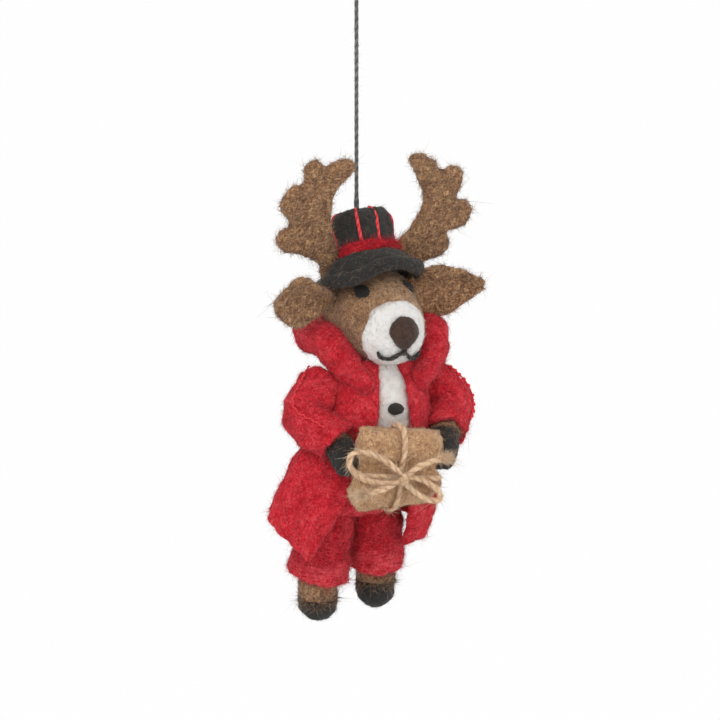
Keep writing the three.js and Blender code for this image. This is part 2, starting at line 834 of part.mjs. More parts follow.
// The coat's outside filled in, as a cutter for what is sewn on outside. It clears the flats between the
// sheet's own rows and columns by a share of the felt's thickness.
function coatCutter() {
  const flatsShare = 0.2;
  const clearance = gap + coatThickness * flatsShare;
  return stackedBody(coatRows, (share) => (
    coatStation(coatNeckShare + (1 - coatNeckShare) * share, clearance)), 24);
}

// Angles of the two front edges at even shares down the coat
const rightEdgeAngles = [-16, -18, -20, -22, -24, -27, -34, -40];
const leftEdgeAngles = [16, 18, 20, 23, 26, 30, 34, 37];

// The coat's panels, each between two edges given as angles at a share down the coat
const coatPanels = {
  back: {
    from: () => coatSideSeamAngle + coatSeamGapAngle / 2,
    to: () => 360 - coatSideSeamAngle - coatSeamGapAngle / 2,
    columns: 14,
    hemShares: [0.9, 0.84, 0.79, 0.79, 0.83],
  },
  right: {
    from: () => -coatSideSeamAngle + coatSeamGapAngle / 2,
    to: (share) => alongShares(rightEdgeAngles, share),
    columns: 7,
    hemShares: [0.83, 0.93, 1],
  },
  left: {
    from: (share) => alongShares(leftEdgeAngles, share),
    to: () => coatSideSeamAngle - coatSeamGapAngle / 2,
    columns: 7,
    hemShares: [0.97, 0.96, 0.9],
  },
};

// A panel's sheet of felt. Grown by a clearance, it reaches past its own edges by as much.
function coatSheet({ from, to, columns, hemShares }, grow = 0) {
  const overShare = grow / coatLength;
  const overAngle = THREE.MathUtils.radToDeg(grow / coatHalfDepth);
  const neckShare = coatNeckShare - overShare;
  const surface = (u, v) => {
    const share = neckShare + (alongShares(hemShares, u) + overShare - neckShare) * v;
    const angle = THREE.MathUtils.lerp(from(share) - overAngle, to(share) + overAngle, u);
    return coatPoint(radians(angle), share);
  };
  return sheet(surface, columns, coatRows, coatThickness + 2 * grow);
}

function coatPanelGeometry(panel) {
  return cut(coatSheet(panel), torsoCutter(), headCutter(gap));
}

function collarLimb() {
  const sideShare = 0.8;
  const napeShare = 0.75;
  const bulgeShare = 0.4;
  const halfPath = (side, aside) => [
    at(side * lapelAside, lapelForward, lapelDown),
    at(side * aside * sideShare, collarThroatForward, (lapelDown + collarSideDown) / 2),
    at(side * aside, collarSideForward, collarSideDown),
    at(side * aside * sideShare, -collarBack * napeShare, collarBackDown),
  ];
  const nape = at(0, -collarBack - collarRadius * bulgeShare, collarBackDown);
  const path = [...halfPath(1, collarLeftAside), nape, ...halfPath(-1, collarRightAside).reverse()];
  const lapelShare = collarLapelRadius / collarRadius;
  const radiusShares = [lapelShare, 0.85, 1, 0.95, 0.92, 0.95, 1, 0.85, lapelShare];
  return new Limb(path, radiusShares.map((value) => value * collarRadius), {
    reference: new THREE.Vector3(0, 0, 1),
  });
}

function collarGeometry() {
  const roll = collarLimb().geometry(10, 16);
  return cut(roll, headCutter(gap), torsoCutter(), coatCutter(),
    ...Object.values(coatPanels).map((panel) => coatSheet(panel, gap)),
    earSheet(...rightEar, gap), earSheet(...leftEar, gap));
}

// Sleeves and arms

function sleeveLimb(side) {
  const upperArmDropShare = 0.38;
  return new Limb([
    at(side * shoulderAside, shoulderForward, shoulderDown),
    at(side * (shoulderAside + elbowAside) / 2, (shoulderForward + elbowForward) / 2,
      THREE.MathUtils.lerp(shoulderDown, elbowDown, upperArmDropShare)),
    at(side * elbowAside, elbowForward, elbowDown),
    at(side * cuffAside, cuffForward, cuffDown),
  ], [sleeveShoulderRadius, (sleeveShoulderRadius + sleeveElbowRadius) / 2, sleeveElbowRadius,
    sleeveCuffRadius],
  { roundEnd: false });
}

function armLimb(side) {
  const hand = side < 0
    ? at(handRightAside, handRightForward, handRightDown)
    : at(handLeftAside, handLeftForward, handLeftDown);
  const elbow = at(side * elbowAside, elbowForward, elbowDown);
  const cuff = at(side * cuffAside, cuffForward, cuffDown);
  const wristShare = 0.5;
  const taperShares = [0.9, 1, 1, 0.8];
  return new Limb([elbow, cuff, cuff.clone().lerp(hand, wristShare), hand],
    taperShares.map((value) => value * armRadius));
}

// A large block that holds everything past a limb's hoof line
function beyond(limb, length, clearance) {
  const share = 1 - length / limb.length;
  const size = 2 * limb.length;
  const block = new THREE.BoxGeometry(size, size, size);
  block.translate(0, 0, size / 2 + clearance);
  const turn = new THREE.Quaternion().setFromUnitVectors(
    new THREE.Vector3(0, 0, 1), limb.curve.getTangent(share));
  block.applyQuaternion(turn);
  const place = limb.curve.getPoint(share);
  block.translate(place.x, place.y, place.z);
  return block;
}

function sleeveGeometry(side) {
  const room = armLimb(side).geometry(12, 5, gap);
  return cut(sleeveLimb(side).geometry(12, 5), coatCutter(), collarCutter(), room);
}

function collarCutter() {
  return collarLimb().geometry(10, 16, gap);
}

function armGeometry(side) {
  const limb = armLimb(side);
  return cut(limb.geometry(12, 5), coatCutter(), beyond(limb, frontHoofLength(side), 0));
}

function frontHoofLength(side) {
  return side < 0 ? frontHoofRightLength : frontHoofLeftLength;
}

function frontHoofGeometry(side) {
  const limb = armLimb(side);
  return cut(keepInside(limb.geometry(12, 5), beyond(limb, frontHoofLength(side), gap)),
    twineWrapGeometry(gap), coatCutter());
}

function seamThreadGeometry(side) {
  const limb = sleeveLimb(side);
  const shares = [0.42, 0.52, 0.62, 0.72, 0.83];
  const facingStart = new THREE.Vector3(side, -0.55, 0.35);
  const facingEnd = side < 0 ? new THREE.Vector3(0.1 * side, -0.9, 0.5) : new THREE.Vector3(side, -0.5, 0.2);
  const lift = gap + seamThreadDiameter / 2;
  const points = shares.map((share) => {
    const facing = facingStart.clone().lerp(facingEnd, share);
    return limb.skinPoint(share, facing.normalize(), lift);
  });
  return strand(points, seamThreadDiameter, 6, 10);
}

// Trousers, legs and rear hoofs

function seatGeometry() {
  const widthShares = [0.8, 0.98, 1, 0.86];
  const depthShares = [0.86, 1, 0.94, 0.62];
  const forwardShares = [1.25, 1.1, 0.75, 0.3];
  const leanShares = [0.5, 0.6, 0.7, 0.8];
  const seat = stackedBody(6, (share) => ({
    centre: at(figureLean * alongShares(leanShares, share), seatForward * alongShares(forwardShares, share),
      trouserTop + seatDepth * share),
    halfWidth: seatHalfWidth * alongShares(widthShares, share),
    halfDepth: seatHalfDepth * alongShares(depthShares, share),
  }), 20);
  return cut(seat, trouserLegLimb(-1).geometry(14, 5, gap), trouserLegLimb(1).geometry(14, 5, gap));
}

function trouserLegLimb(side) {
  const cuffDepth = side < 0 ? trouserRightCuffDown : trouserLeftCuffDown;
  const cuffRadius = side < 0 ? trouserRightCuffRadius : trouserLeftCuffRadius;
  const hip = at(figureLean + side * hipAside, hipForward, hipDown);
  const cuff = at(figureLean + side * legAside, -legBack, cuffDepth);
  const kneeShare = 0.5;
  const shinShare = 0.8;
  const kneeRadiusShare = 0.96;
  return new Limb([hip, hip.clone().lerp(cuff, kneeShare), hip.clone().lerp(cuff, shinShare), cuff],
    [trouserLegRadius, trouserLegRadius * kneeRadiusShare, (trouserLegRadius + cuffRadius) / 2, cuffRadius],
    { roundEnd: false });
}

function legLimb(side) {
  const foot = side < 0 ? legRightDown : legLeftDown;
  const x = figureLean + side * legAside;
  const rise = (foot - legTop) / 2;
  const driftShare = 0.35;
  const drift = legBack * driftShare;
  const swellShares = [0.86, 0.98, 1];
  return new Limb([at(x, -legBack + drift, legTop), at(x, -legBack, legTop + rise), at(x, -legBack, foot)],
    swellShares.map((value) => value * legRadius));
}

function trouserLegGeometry(side) {
  return cut(trouserLegLimb(side).geometry(14, 5), legLimb(side).geometry(12, 5, gap));
}

function hoofHeight(side) {
  return side < 0 ? rearHoofRightHeight : rearHoofLeftHeight;
}

function legGeometry(side) {
  const limb = legLimb(side);
  return cut(limb.geometry(12, 5), beyond(limb, hoofHeight(side), 0));
}

function rearHoofGeometry(side) {
  const limb = legLimb(side);
  return keepInside(limb.geometry(12, 5), beyond(limb, hoofHeight(side), gap));
}

// Parcel and twine, laid out from the parcel's centre

const parcelPose = new THREE.Matrix4().makeTranslation(at(parcelAside, parcelForward, parcelDown))
  .multiply(new THREE.Matrix4().makeRotationY(radians(parcelRoll)));

// The parcel's half sizes at a share up its height, thin at the folds and drawn in at the twine
function parcelSection(share) {
  const widthShares = [0.86, 0.98, 0.97, 0.9, 0.95, 0.99, 0.96];
  const depthShares = [0.34, 0.85, 1, 0.72, 1, 0.86, 0.3];
  return {
    halfWidth: (parcelWidth / 2) * alongShares(widthShares, share),
    halfDepth: (parcelDepth / 2) * alongShares(depthShares, share),
  };
}

function parcelGeometry() {
  const levels = 8;
  const sides = 16;
  const squareness = 0.55;
  const footSlope = Math.tan(radians(parcelFootTilt));
  const rings = [];
  for (let i = 0; i <= levels; i += 1) {
    const share = i / levels;
    const { halfWidth, halfDepth } = parcelSection(share);
    const ring = [];
    for (let k = 0; k < sides; k += 1) {
      const angle = (2 * Math.PI * k) / sides;
      const square = (value) => Math.sign(value) * Math.abs(value) ** squareness;
      ring.push(new THREE.Vector3(
        halfWidth * square(Math.cos(angle)), halfDepth * square(Math.sin(angle)),
        parcelHeight * (share - 0.5) + footSlope * (1 - share) * halfWidth * square(Math.cos(angle))));
    }
    rings.push(ring);
  }
  const body = bodyOverRings(rings, new THREE.Vector3(0, 0, -parcelHeight / 2),
    new THREE.Vector3(0, 0, parcelHeight / 2)).applyMatrix4(parcelPose);
  return cut(body, torsoCutter(), coatCutter(), twineWrapGeometry(gap),
    armLimb(-1).geometry(12, 5, gap), armLimb(1).geometry(12, 5, gap));
}

// A tube that runs round and meets itself, through hand-chosen points
function loopStrand(points, diameter, sides, steps) {
  const curve = new THREE.CatmullRomCurve3(points, true);
  const rings = [];
  const middle = points.reduce((sum, point) => sum.add(point), new THREE.Vector3())
    .divideScalar(points.length);
  for (let i = 0; i < steps; i += 1) {
    const share = i / steps;
    const place = curve.getPoint(share);
    const tangent = curve.getTangent(share);
    const outward = place.clone().sub(middle);
    outward.addScaledVector(tangent, -outward.dot(tangent)).normalize();
    const across = tangent.clone().cross(outward);
    const ring = [];
    for (let k = 0; k < sides; k += 1) {
      const angle = (2 * Math.PI * k) / sides;
      ring.push(place.clone()
        .addScaledVector(outward, (diameter / 2) * Math.cos(angle))
        .addScaledVector(across, (diameter / 2) * Math.sin(angle)));
    }
    rings.push(ring);
  }
  return bandOverRings(rings);
}

// The twine is drawn into the soft parcel, so its middle lies this far off the felt
const twineLift = twineDiameter / 2 - twineSink;

// The half sizes of the level turn of twine, along its middle
function waistTwine() {
  const middleShare = 0.5;
  const { halfWidth, halfDepth } = parcelSection(middleShare - parcelWaistDown / parcelHeight);
  return { halfWidth: halfWidth + twineLift, halfDepth: halfDepth + twineLift };
}

function twineWrapGeometry(grow = 0) {
  const thickness = twineDiameter + 2 * grow;
  const halfHeight = parcelHeight / 2 + twineLift;
  const front = parcelDepth / 2 + twineLift;
  const pinchShare = 0.8;
  const quarterShares = [[1, 0.46], [0.55, 0.97]];
  const upper = quarterShares.map(([frontShare, heightShare]) => [
    -frontShare * front, heightShare * halfHeight]);
  const frontRun = [[-front * pinchShare, -parcelWaistDown], ...upper];
  const backRun = frontRun.slice().reverse().map(([y, z]) => [-y, z]);
  const lower = upper.slice().reverse().map(([y, z]) => [y, -z]);
  const underRun = upper.map(([y, z]) => [-y, -z]);
  const upright = loopStrand([...frontRun, ...backRun, ...underRun, ...lower].map(([y, z]) => (
    new THREE.Vector3(twineAside, y, z))), thickness, 6, 22);
  const { halfWidth, halfDepth } = waistTwine();
  const cornerShare = 0.86;
  const level = loopStrand([[1, 0], [cornerShare, cornerShare], [0, 1], [-cornerShare, cornerShare],
    [-1, 0], [-cornerShare, -cornerShare], [0, -1], [cornerShare, -cornerShare]].map(([x, y]) => (
    new THREE.Vector3(x * halfWidth, y * halfDepth, -parcelWaistDown))), thickness, 6, 20);
  return join(upright, level).applyMatrix4(parcelPose);
}

function bowCentre() {
  const twineFront = waistTwine().halfDepth + twineDiameter / 2;
  return new THREE.Vector3(twineAside, -(twineFront + gap + bowKnotDiameter / 2), -parcelWaistDown);
}

// One side of the bow: a teardrop loop that leaves the knot and comes back to it
function bowLoop(side, rise) {
  const centre = bowCentre();
  const shares = [[0, 0.1], [0.3, 0.42], [0.7, 0.52], [0.96, 0.28],
    [0.98, -0.12], [0.74, -0.46], [0.34, -0.4], [0, -0.1]];
  const points = shares.map(([reachShare, widthShare]) => new THREE.Vector3(
    side * reachShare * bowLoopReach, 0,
    widthShare * bowLoopWidth + rise * reachShare * bowLoopReach).add(centre));
  return strand(points, twineDiameter, 6, 15);
}

function bowTail(side, rise) {
  const centre = bowCentre();
  const shares = [[0, 0], [0.35, 0.55], [0.7, 0.85], [1, 1]];
  const points = shares.map(([reachShare, riseShare]) => new THREE.Vector3(
    side * reachShare * bowTailReach, -twineDiameter / 2 * reachShare,
    riseShare * rise * bowTailReach).add(centre));
  return strand(points, twineDiameter, 6, 7);
}

function bowGeometry() {
  const knot = ellipsoid(bowKnotDiameter, bowKnotDiameter, bowKnotDiameter, bowCentre());
  const bow = join(knot, bowLoop(-1, -0.02), bowLoop(1, -0.28), bowTail(-1, -0.52), bowTail(1, 0.42));
  return bow.applyMatrix4(parcelPose);
}

// Hanger

function hangerEyeGeometry() {
  const radius = cordDiameter / 2;
  const halfWidth = eyeWidth / 2 + radius;
  const foot = eyeLength - eyeKnotDiameter / 2 - gap;
  const footAside = radius + gap / 2;
  const shares = [[1, 0.72], [0.95, 0.4], [0.6, 0.1]];
  const side = shares.map(([outShare, downShare]) => [outShare * halfWidth, downShare * foot]);
  const right = side.map(([x, down]) => at(-x, 0, down - radius));
  const left = side.slice().reverse().map(([x, down]) => at(x, 0, down - radius));
  const path = [at(-footAside, 0, foot), ...right, at(0, 0, -radius), ...left, at(footAside, 0, foot)];
  const flatBelow = new THREE.BoxGeometry(eyeLength, eyeLength, eyeLength);
  flatBelow.translate(0, 0, -eyeLength / 2 - foot);
  return cut(strand(path, cordDiameter, 8, 28), flatBelow);
}

function eyeKnotGeometry() {
  return ellipsoid(eyeKnotDiameter, eyeKnotDiameter, eyeKnotDiameter, at(0, 0, eyeLength));
}

function hangerCordGeometry() {
  const top = eyeLength + eyeKnotDiameter / 2 + gap;
  const bottom = hatDrop + anchorDepth - anchorKnotDiameter / 2 - gap;
  const lengthShares = [0, 0.25, 0.5, 0.75, 1];
  const points = lengthShares.map((share) => at(0, 0, THREE.MathUtils.lerp(top, bottom, share)));
  return strand(points, cordDiameter, 8, 24);
}

function anchorKnotGeometry() {
  const place = at(0, 0, anchorDepth + hatDrop);
  return ellipsoid(anchorKnotDiameter, anchorKnotDiameter, anchorKnotDiameter, place);
}

// Assembly

function headParts() {
  return [
    part("head", brownWool, headGeometry()),
    part("muzzle_patch", whiteWool, muzzlePatchGeometry()),
    part("nose", darkNoseWool, noseGeometry()),
    part("mouth_line", blackWool, mouthGeometry()),
    part("eye_right", blackWool, eyeGeometry(-1)),
    part("eye_left", blackWool, eyeGeometry(1)),
    part("ear_right", brownWool, earGeometry(rightEar)),
    part("ear_left", brownWool, earGeometry(leftEar)),
    part("antler_right", brownWool, trimmedAntler(-1, rightAntlerShares)),
    part("antler_left", brownWool, trimmedAntler(1, leftAntlerShares)),
  ];
}

function hatParts() {
  return [
    part("hat_crown", blackWool, crownGeometry()),
    part("hat_brim", blackWool, brimGeometry()),
    part("hat_band", redFelt, bandGeometry()),
    ...hatStripeAngles.map((angle, i) => part(`hat_stripe_${i + 1}`, redThread, hatStripeGeometry(angle))),
  ];
}

function bodyParts() {
  return [
    part("torso", whiteWool, torsoGeometry()),
    part("shirt_button", blackWool, buttonGeometry()),
    part("coat_back", redFelt, coatPanelGeometry(coatPanels.back)),
    part("coat_front_right", redFelt, coatPanelGeometry(coatPanels.right)),
    part("coat_front_left", redFelt, coatPanelGeometry(coatPanels.left)),
    part("coat_collar", redFelt, collarGeometry()),
    part("trouser_seat", redFelt, seatGeometry()),
  ];
}

function sideParts(side, name) {
  return [
    part(`sleeve_${name}`, redFelt, sleeveGeometry(side)),
    part(`sleeve_thread_${name}`, redThread, seamThreadGeometry(side)),
    part(`arm_${name}`, brownWool, armGeometry(side)),
    part(`front_hoof_${name}`, blackWool, frontHoofGeometry(side)),
    part(`trouser_leg_${name}`, redFelt, trouserLegGeometry(side)),
    part(`leg_${name}`, brownWool, legGeometry(side)),
    part(`rear_hoof_${name}`, blackWool, rearHoofGeometry(side)),
  ];
}

function parcelParts() {
  return [
    part("parcel", tanFelt, parcelGeometry()),
    part("twine_wrap", juteTwine, twineWrapGeometry()),
    part("twine_bow", juteTwine, bowGeometry()),
  ];
}

function figure() {
  const group = new THREE.Group();
  group.position.copy(at(0, 0, hatDrop));
  group.add(...headParts(), ...hatParts(), ...bodyParts(), ...sideParts(-1, "right"), ...sideParts(1, "left"),
    ...parcelParts());
  return group;
}

function hanger() {
  const group = new THREE.Group();
  group.add(
    part("hanger_eye", cottonCord, hangerEyeGeometry()),
    part("eye_knot", cottonCord, eyeKnotGeometry()),
    part("hanger_cord", cottonCord, hangerCordGeometry()),
    part("anchor_knot", cottonCord, anchorKnotGeometry()));
  return group;
}

const ornament = new THREE.Group();
ornament.add(hanger(), figure());

export default ornament;
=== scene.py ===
"""A needle-felted reindeer ornament in a felt coat, trousers and top hat, hanging on a twisted cord.

Lengths are metres. +Z is up, the figure faces -Y and its left hand is on +X. The origin is the inside
top of the hanging eye. The figure is laid out from the crown's top centre, where the cord enters the
hat, as distances out (+X), forward (-Y) and down (-Z), and is then lowered by the cord's drop.
"""

import logging
import re
from dataclasses import dataclass, replace
from enum import Enum
from typing import Callable, Optional, Sequence

import bpy
import numpy as np
from mathutils import Matrix, Vector
from mathutils.geometry import delaunay_2d_cdt


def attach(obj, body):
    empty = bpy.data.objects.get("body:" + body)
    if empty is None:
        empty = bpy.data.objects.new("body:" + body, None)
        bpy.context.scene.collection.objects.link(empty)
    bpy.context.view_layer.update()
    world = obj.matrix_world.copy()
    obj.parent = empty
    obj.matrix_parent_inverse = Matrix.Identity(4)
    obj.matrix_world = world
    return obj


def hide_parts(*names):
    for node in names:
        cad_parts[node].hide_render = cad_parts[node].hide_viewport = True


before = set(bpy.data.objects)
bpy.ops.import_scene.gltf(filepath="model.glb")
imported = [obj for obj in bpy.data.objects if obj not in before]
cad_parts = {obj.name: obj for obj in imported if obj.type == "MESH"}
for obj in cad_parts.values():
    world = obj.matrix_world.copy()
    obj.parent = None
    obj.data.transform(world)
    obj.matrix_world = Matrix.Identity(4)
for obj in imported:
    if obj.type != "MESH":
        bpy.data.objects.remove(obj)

LOG = logging.getLogger("ornament")
Array = np.ndarray
Toned = tuple["Form", Array]
Sizes = tuple[float, ...]
Press = Callable[[Array], Array]
Surface = Keep = Callable[[Array, Array], Array]

GAP = 0.0003
SINK = -0.0009
HAT_DROP = 0.0855
MILLIMETRE = 0.001
WAVES = 24
NO_TRIS = np.zeros((0, 3), int)


# Arrays and curves

def at(out: float, forward: float, down: float) -> Array:
    """A figure point from its distances out, forward and down."""
    return np.array([out, -forward, -down])


def turned(axis: str, degrees: float) -> Array:
    """The 3 by 3 turn about one axis."""
    return np.array(Matrix.Rotation(np.radians(degrees), 3, axis))


def unit(vectors: Array) -> Array:
    """Vectors divided by their own lengths."""
    return vectors / np.maximum(np.linalg.norm(vectors, axis=-1, keepdims=True), 1e-12)


def blend(start: Array, end: Array, share: Array) -> Array:
    """The value at a share of the way from a start to an end."""
    return start + (end - start) * share


def eased(value: Array, low: float, high: float) -> Array:
    """A share that eases from 0 at a low value to 1 at a high one: 3s^2 - 2s^3."""
    share = np.clip((value - low) / (high - low), 0, 1)
    return share * share * (3 - 2 * share)


def lumps(points: Array, size: float, seed: int) -> Array:
    """Smooth random lumps of one size, mostly within 1: a sum of sine waves in seeded directions."""
    rng = np.random.default_rng(seed)
    turns = unit(rng.normal(size=(WAVES, 3))) * rng.uniform(0.6, 1.4, (WAVES, 1)) * 2 * np.pi / size
    phases = rng.uniform(0, 2 * np.pi, WAVES)
    return np.sin(points @ turns.T + phases).sum(axis=-1) / np.sqrt(2 * WAVES)


class SmoothPath:
    """A centripetal Catmull-Rom curve through stations, which are points or plain values."""

    def __init__(self, stations: Sequence, closed: bool = False) -> None:
        """Keeps the stations as rows at even shares of the run, which may meet itself."""
        self.stations = np.asarray(stations, dtype=float).reshape(len(stations), -1)
        self.closed = closed

    def _corners(self, shares: Array) -> tuple[Array, Array]:
        """The four stations round each share, and its share of the middle span."""
        count = len(self.stations)
        if self.closed:
            place = (shares % 1) * count
            first = np.floor(place).astype(int)
            return self.stations[(first[:, None] + np.arange(-1, 3)) % count], (place - first)[:, None]
        place = np.clip(shares, 0, 1) * (count - 1)
        first = np.minimum(np.floor(place).astype(int), count - 2)
        before = 2 * self.stations[:1] - self.stations[1:2]
        after = 2 * self.stations[-1:] - self.stations[-2:-1]
        run = np.vstack([before, self.stations, after])
        return run[first[:, None] + np.arange(4)], (place - first)[:, None]

    def at(self, shares: Array) -> Array:
        """Rows at shares of the run, on a cubic whose knots are spaced by the roots of the chords."""
        corners, weight = self._corners(np.atleast_1d(np.asarray(shares, dtype=float)).ravel())
        steps = np.sqrt(np.linalg.norm(np.diff(corners, axis=1), axis=2))[:, :, None]
        middle = np.where(steps[:, 1] < 1e-4, 1.0, steps[:, 1])
        before, after = (np.where(steps[:, i] < 1e-4, middle, steps[:, i]) for i in (0, 2))
        p0, p1, p2, p3 = (corners[:, i] for i in range(4))
        leave = middle * ((p1 - p0) / before - (p2 - p0) / (before + middle) + (p2 - p1) / middle)
        arrive = middle * ((p2 - p1) / middle - (p3 - p1) / (middle + after) + (p3 - p2) / after)
        square = -3 * p1 + 3 * p2 - 2 * leave - arrive
        cube = 2 * p1 - 2 * p2 + leave + arrive
        return p1 + weight * (leave + weight * (square + weight * cube))

    def values(self, shares: Array) -> Array:
        """Plain values at shares of any shape."""
        return self.at(shares)[:, 0].reshape(np.shape(shares))

    def tangents(self, shares: Array, step: float = 1e-4) -> Array:
        """Unit directions of travel at the shares."""
        if self.closed:
            return unit(self.at(shares + step) - self.at(shares - step))
        return unit(self.at(np.minimum(shares + step, 1)) - self.at(np.maximum(shares - step, 0)))

    def length(self) -> float:
        """The length along the curve."""
        return float(self._runs()[-1])

    def _runs(self) -> Array:
        """The length from the start to each of many even shares."""
        spans = np.linalg.norm(np.diff(self.at(np.linspace(0, 1 - 1e-9, 400)), axis=0), axis=1)
        return np.concatenate([[0.0], np.cumsum(spans)])

    def even(self, shares: Array) -> Array:
        """The shares of the run that lie at shares of the length."""
        runs = self._runs()
        return np.interp(shares * runs[-1], runs, np.linspace(0, 1 - 1e-9, 400))


def smooth(stations: Sequence[float], shares: Array) -> Array:
    """Values between given stations at shares of their run."""
    return SmoothPath(stations).values(shares)


def circle(sides: int) -> Array:
    """Even angles round a full turn."""
    return np.linspace(0, 2 * np.pi, sides, endpoint=False)


def spread(x: Array, y: Array, z: Array) -> Array:
    """Points from three arrays of coordinates that fit each other's shapes."""
    return np.stack(np.broadcast_arrays(x, y, z), axis=-1)


def spokes(side: Array, rise: Array, angle: Array) -> Array:
    """Unit spokes about each place: cosine times the side plus sine times the rise."""
    return side[:, None] * np.cos(angle)[None, :, None] + rise[:, None] * np.sin(angle)[None, :, None]


def bulge(share: Array) -> Array:
    """The height of a quarter round at a share in from its edge: the root of 1 - (1 - share)^2."""
    return np.sqrt(1 - (1 - share) ** 2)


def mottled(points: Array, base: Array, *layers: tuple[float, float, int]) -> Array:
    """A base value with layers of lumps added, each with its depth, size and seed."""
    for depth, size, seed in layers:
        base = base + depth * lumps(points, size, seed)
    return base


# Meshes as arrays

@dataclass
class Form:
    """A closed skin: its points, and its faces as rows of point numbers."""

    points: Array
    quads: Array
    tris: Array

    def all_tris(self) -> Array:
        """Every face as triangles."""
        return np.vstack([self.quads[:, [0, 1, 2]], self.quads[:, [0, 2, 3]], self.tris])

    def corners(self) -> list[Array]:
        """The places of the three corners of every triangle."""
        return [self.points[numbers] for numbers in self.all_tris().T]

    def outward(self) -> "Form":
        """The skin with its faces turned outwards, told from the sign of the volume."""
        a, b, c = self.corners()
        if np.einsum("ij,ij->", a, np.cross(b, c)) < 0:
            return Form(self.points, self.quads[:, ::-1], self.tris[:, ::-1])
        return self

    def normals(self) -> Array:
        """Unit normals at the points: the sum of the crosses of the faces round each."""
        a, b, c = self.corners()
        crosses = np.cross(b - a, c - a)
        sums = np.zeros_like(self.points)
        for numbers in self.all_tris().T:
            np.add.at(sums, numbers, crosses)
        return unit(sums)

    def moved(self, points: Array) -> "Form":
        """The skin with other places for its points."""
        return Form(points, self.quads, self.tris)

    def raised(self, heights: Array) -> "Form":
        """The skin with each point moved along its normal by a height."""
        return self.moved(self.points + self.normals() * np.asarray(heights)[..., None])

    def felted(self, dent: float, size: float, seed: int, grain: float = 0.00006) -> "Form":
        """The skin with the soft dents of felting needles over it.

        Args:
            dent: depth of the broad lumps.
            size: distance between them.
            seed: number that fixes the pattern.
            grain: depth of the fine grain.

        Returns:
            The dented skin.
        """
        broad = dent * lumps(self.points, size, seed)
        layers = (dent * 0.45, size * 0.4, seed + 1), (grain, size * 0.16, seed + 2)
        return self.raised(mottled(self.points, broad, *layers))

    def pressed(self, *presses: Press) -> "Form":
        """The skin with its points moved out of its neighbours."""
        points = self.points
        for press in presses:
            points = press(points)
        return self.moved(points)

    def placed(self, turn: Array, shift: Array) -> "Form":
        """The skin turned and then moved."""
        return self.moved(self.points @ turn.T + shift)


def joined(*forms: Form) -> Form:
    """Several skins as one set of arrays."""
    starts = np.cumsum([0] + [len(form.points) for form in forms[:-1]])
    return Form(np.vstack([form.points for form in forms]),
        np.vstack([form.quads + start for form, start in zip(forms, starts)]),
        np.vstack([form.tris + start for form, start in zip(forms, starts)]))


def merged(pairs: Sequence[tuple[Form, Array]]) -> tuple[Form, Array]:
    """Several skins and their tones as one."""
    return joined(*(form for form, _ in pairs)), np.concatenate([tone for _, tone in pairs])


def grid_quads(numbers: Array) -> Array:
    """Quads between the neighbours of a grid of point numbers."""
    corners = numbers[:-1, :-1], numbers[:-1, 1:], numbers[1:, 1:], numbers[1:, :-1]
    return np.stack(corners, axis=-1).reshape(-1, 4)


def body_over(rings: Array) -> Form:
    """A closed body over rings of points, with a fan over the first and the last ring."""
    rows, sides = rings.shape[:2]
    points = np.vstack([rings.reshape(-1, 3), rings[0].mean(axis=0), rings[-1].mean(axis=0)])
    edge = np.arange(sides)
    after = (edge + 1) % sides
    start, last = rows * sides, (rows - 1) * sides
    tris = np.vstack([np.stack([np.full(sides, start), after, edge], axis=1),
        np.stack([np.full(sides, start + 1), last + edge, last + after], axis=1)])
    numbers = np.arange(start).reshape(rows, sides)
    return Form(points, grid_quads(np.pad(numbers, ((0, 0), (0, 1)), "wrap")), tris).outward()


def band_over(rings: Array) -> Form:
    """A closed band whose rings of points follow each other round and meet again."""
    numbers = np.pad(np.arange(rings[..., 0].size).reshape(rings.shape[:2]), (0, 1), "wrap")
    return Form(rings.reshape(-1, 3), grid_quads(numbers), NO_TRIS).outward()


def two_shares(columns: Array, rows: Array) -> tuple[Array, Array]:
    """Two shares at every crossing of a grid."""
    return np.meshgrid(columns, rows, indexing="ij")


def sheet_over(surface: Surface, columns: int, rows: int, thickness: float) -> Form:
    """A sheet of felt over a surface given at two shares, with half-round edges.

    Each face lies half the thickness off the surface along its normal, times the root of 1 - (1 - e)^2,
    where e is the distance from the nearest edge over half the thickness. The faces share edge points.

    Args:
        surface: the middle surface as a function of two shares.
        columns: spaces along the first share.
        rows: spaces along the second share.
        thickness: the felt's thickness.

    Returns:
        The closed skin.
    """
    def spaced(count: int) -> Array:
        """Shares that crowd towards both ends."""
        even = np.linspace(0, 1, count + 1)
        return even - 0.12 * np.sin(2 * np.pi * even)

    u, v = two_shares(spaced(columns), spaced(rows))
    step = 1e-3
    along = surface(np.minimum(u + step, 1), v) - surface(np.maximum(u - step, 0), v)
    across = surface(u, np.minimum(v + step, 1)) - surface(u, np.maximum(v - step, 0))
    middle = surface(u, v)
    width = np.linalg.norm(np.diff(middle, axis=0), axis=2).sum(axis=0).mean()
    height = np.linalg.norm(np.diff(middle, axis=1), axis=2).sum(axis=1).mean()
    inward = np.minimum(np.minimum(u, 1 - u) * width, np.minimum(v, 1 - v) * height)
    half = thickness / 2 * bulge(np.clip(inward / (thickness / 2), 0, 1))
    offset = half[..., None] * unit(np.cross(along, across))
    numbers = np.arange(u.size).reshape(u.shape)
    under = numbers.copy()
    under[1:-1, 1:-1] += u.size
    points = np.vstack([(middle + offset).reshape(-1, 3), (middle - offset).reshape(-1, 3)])
    faces = [np.stack([n[:-1, :-1], n[1:, :-1], n[1:, 1:], n[:-1, 1:]], axis=-1).reshape(-1, 4) for n
        in (numbers, under)]
    used, renumbered = np.unique(np.vstack([faces[0], faces[1][:, ::-1]]), return_inverse=True)
    return Form(points[used], renumbered.reshape(-1, 4), NO_TRIS).outward()


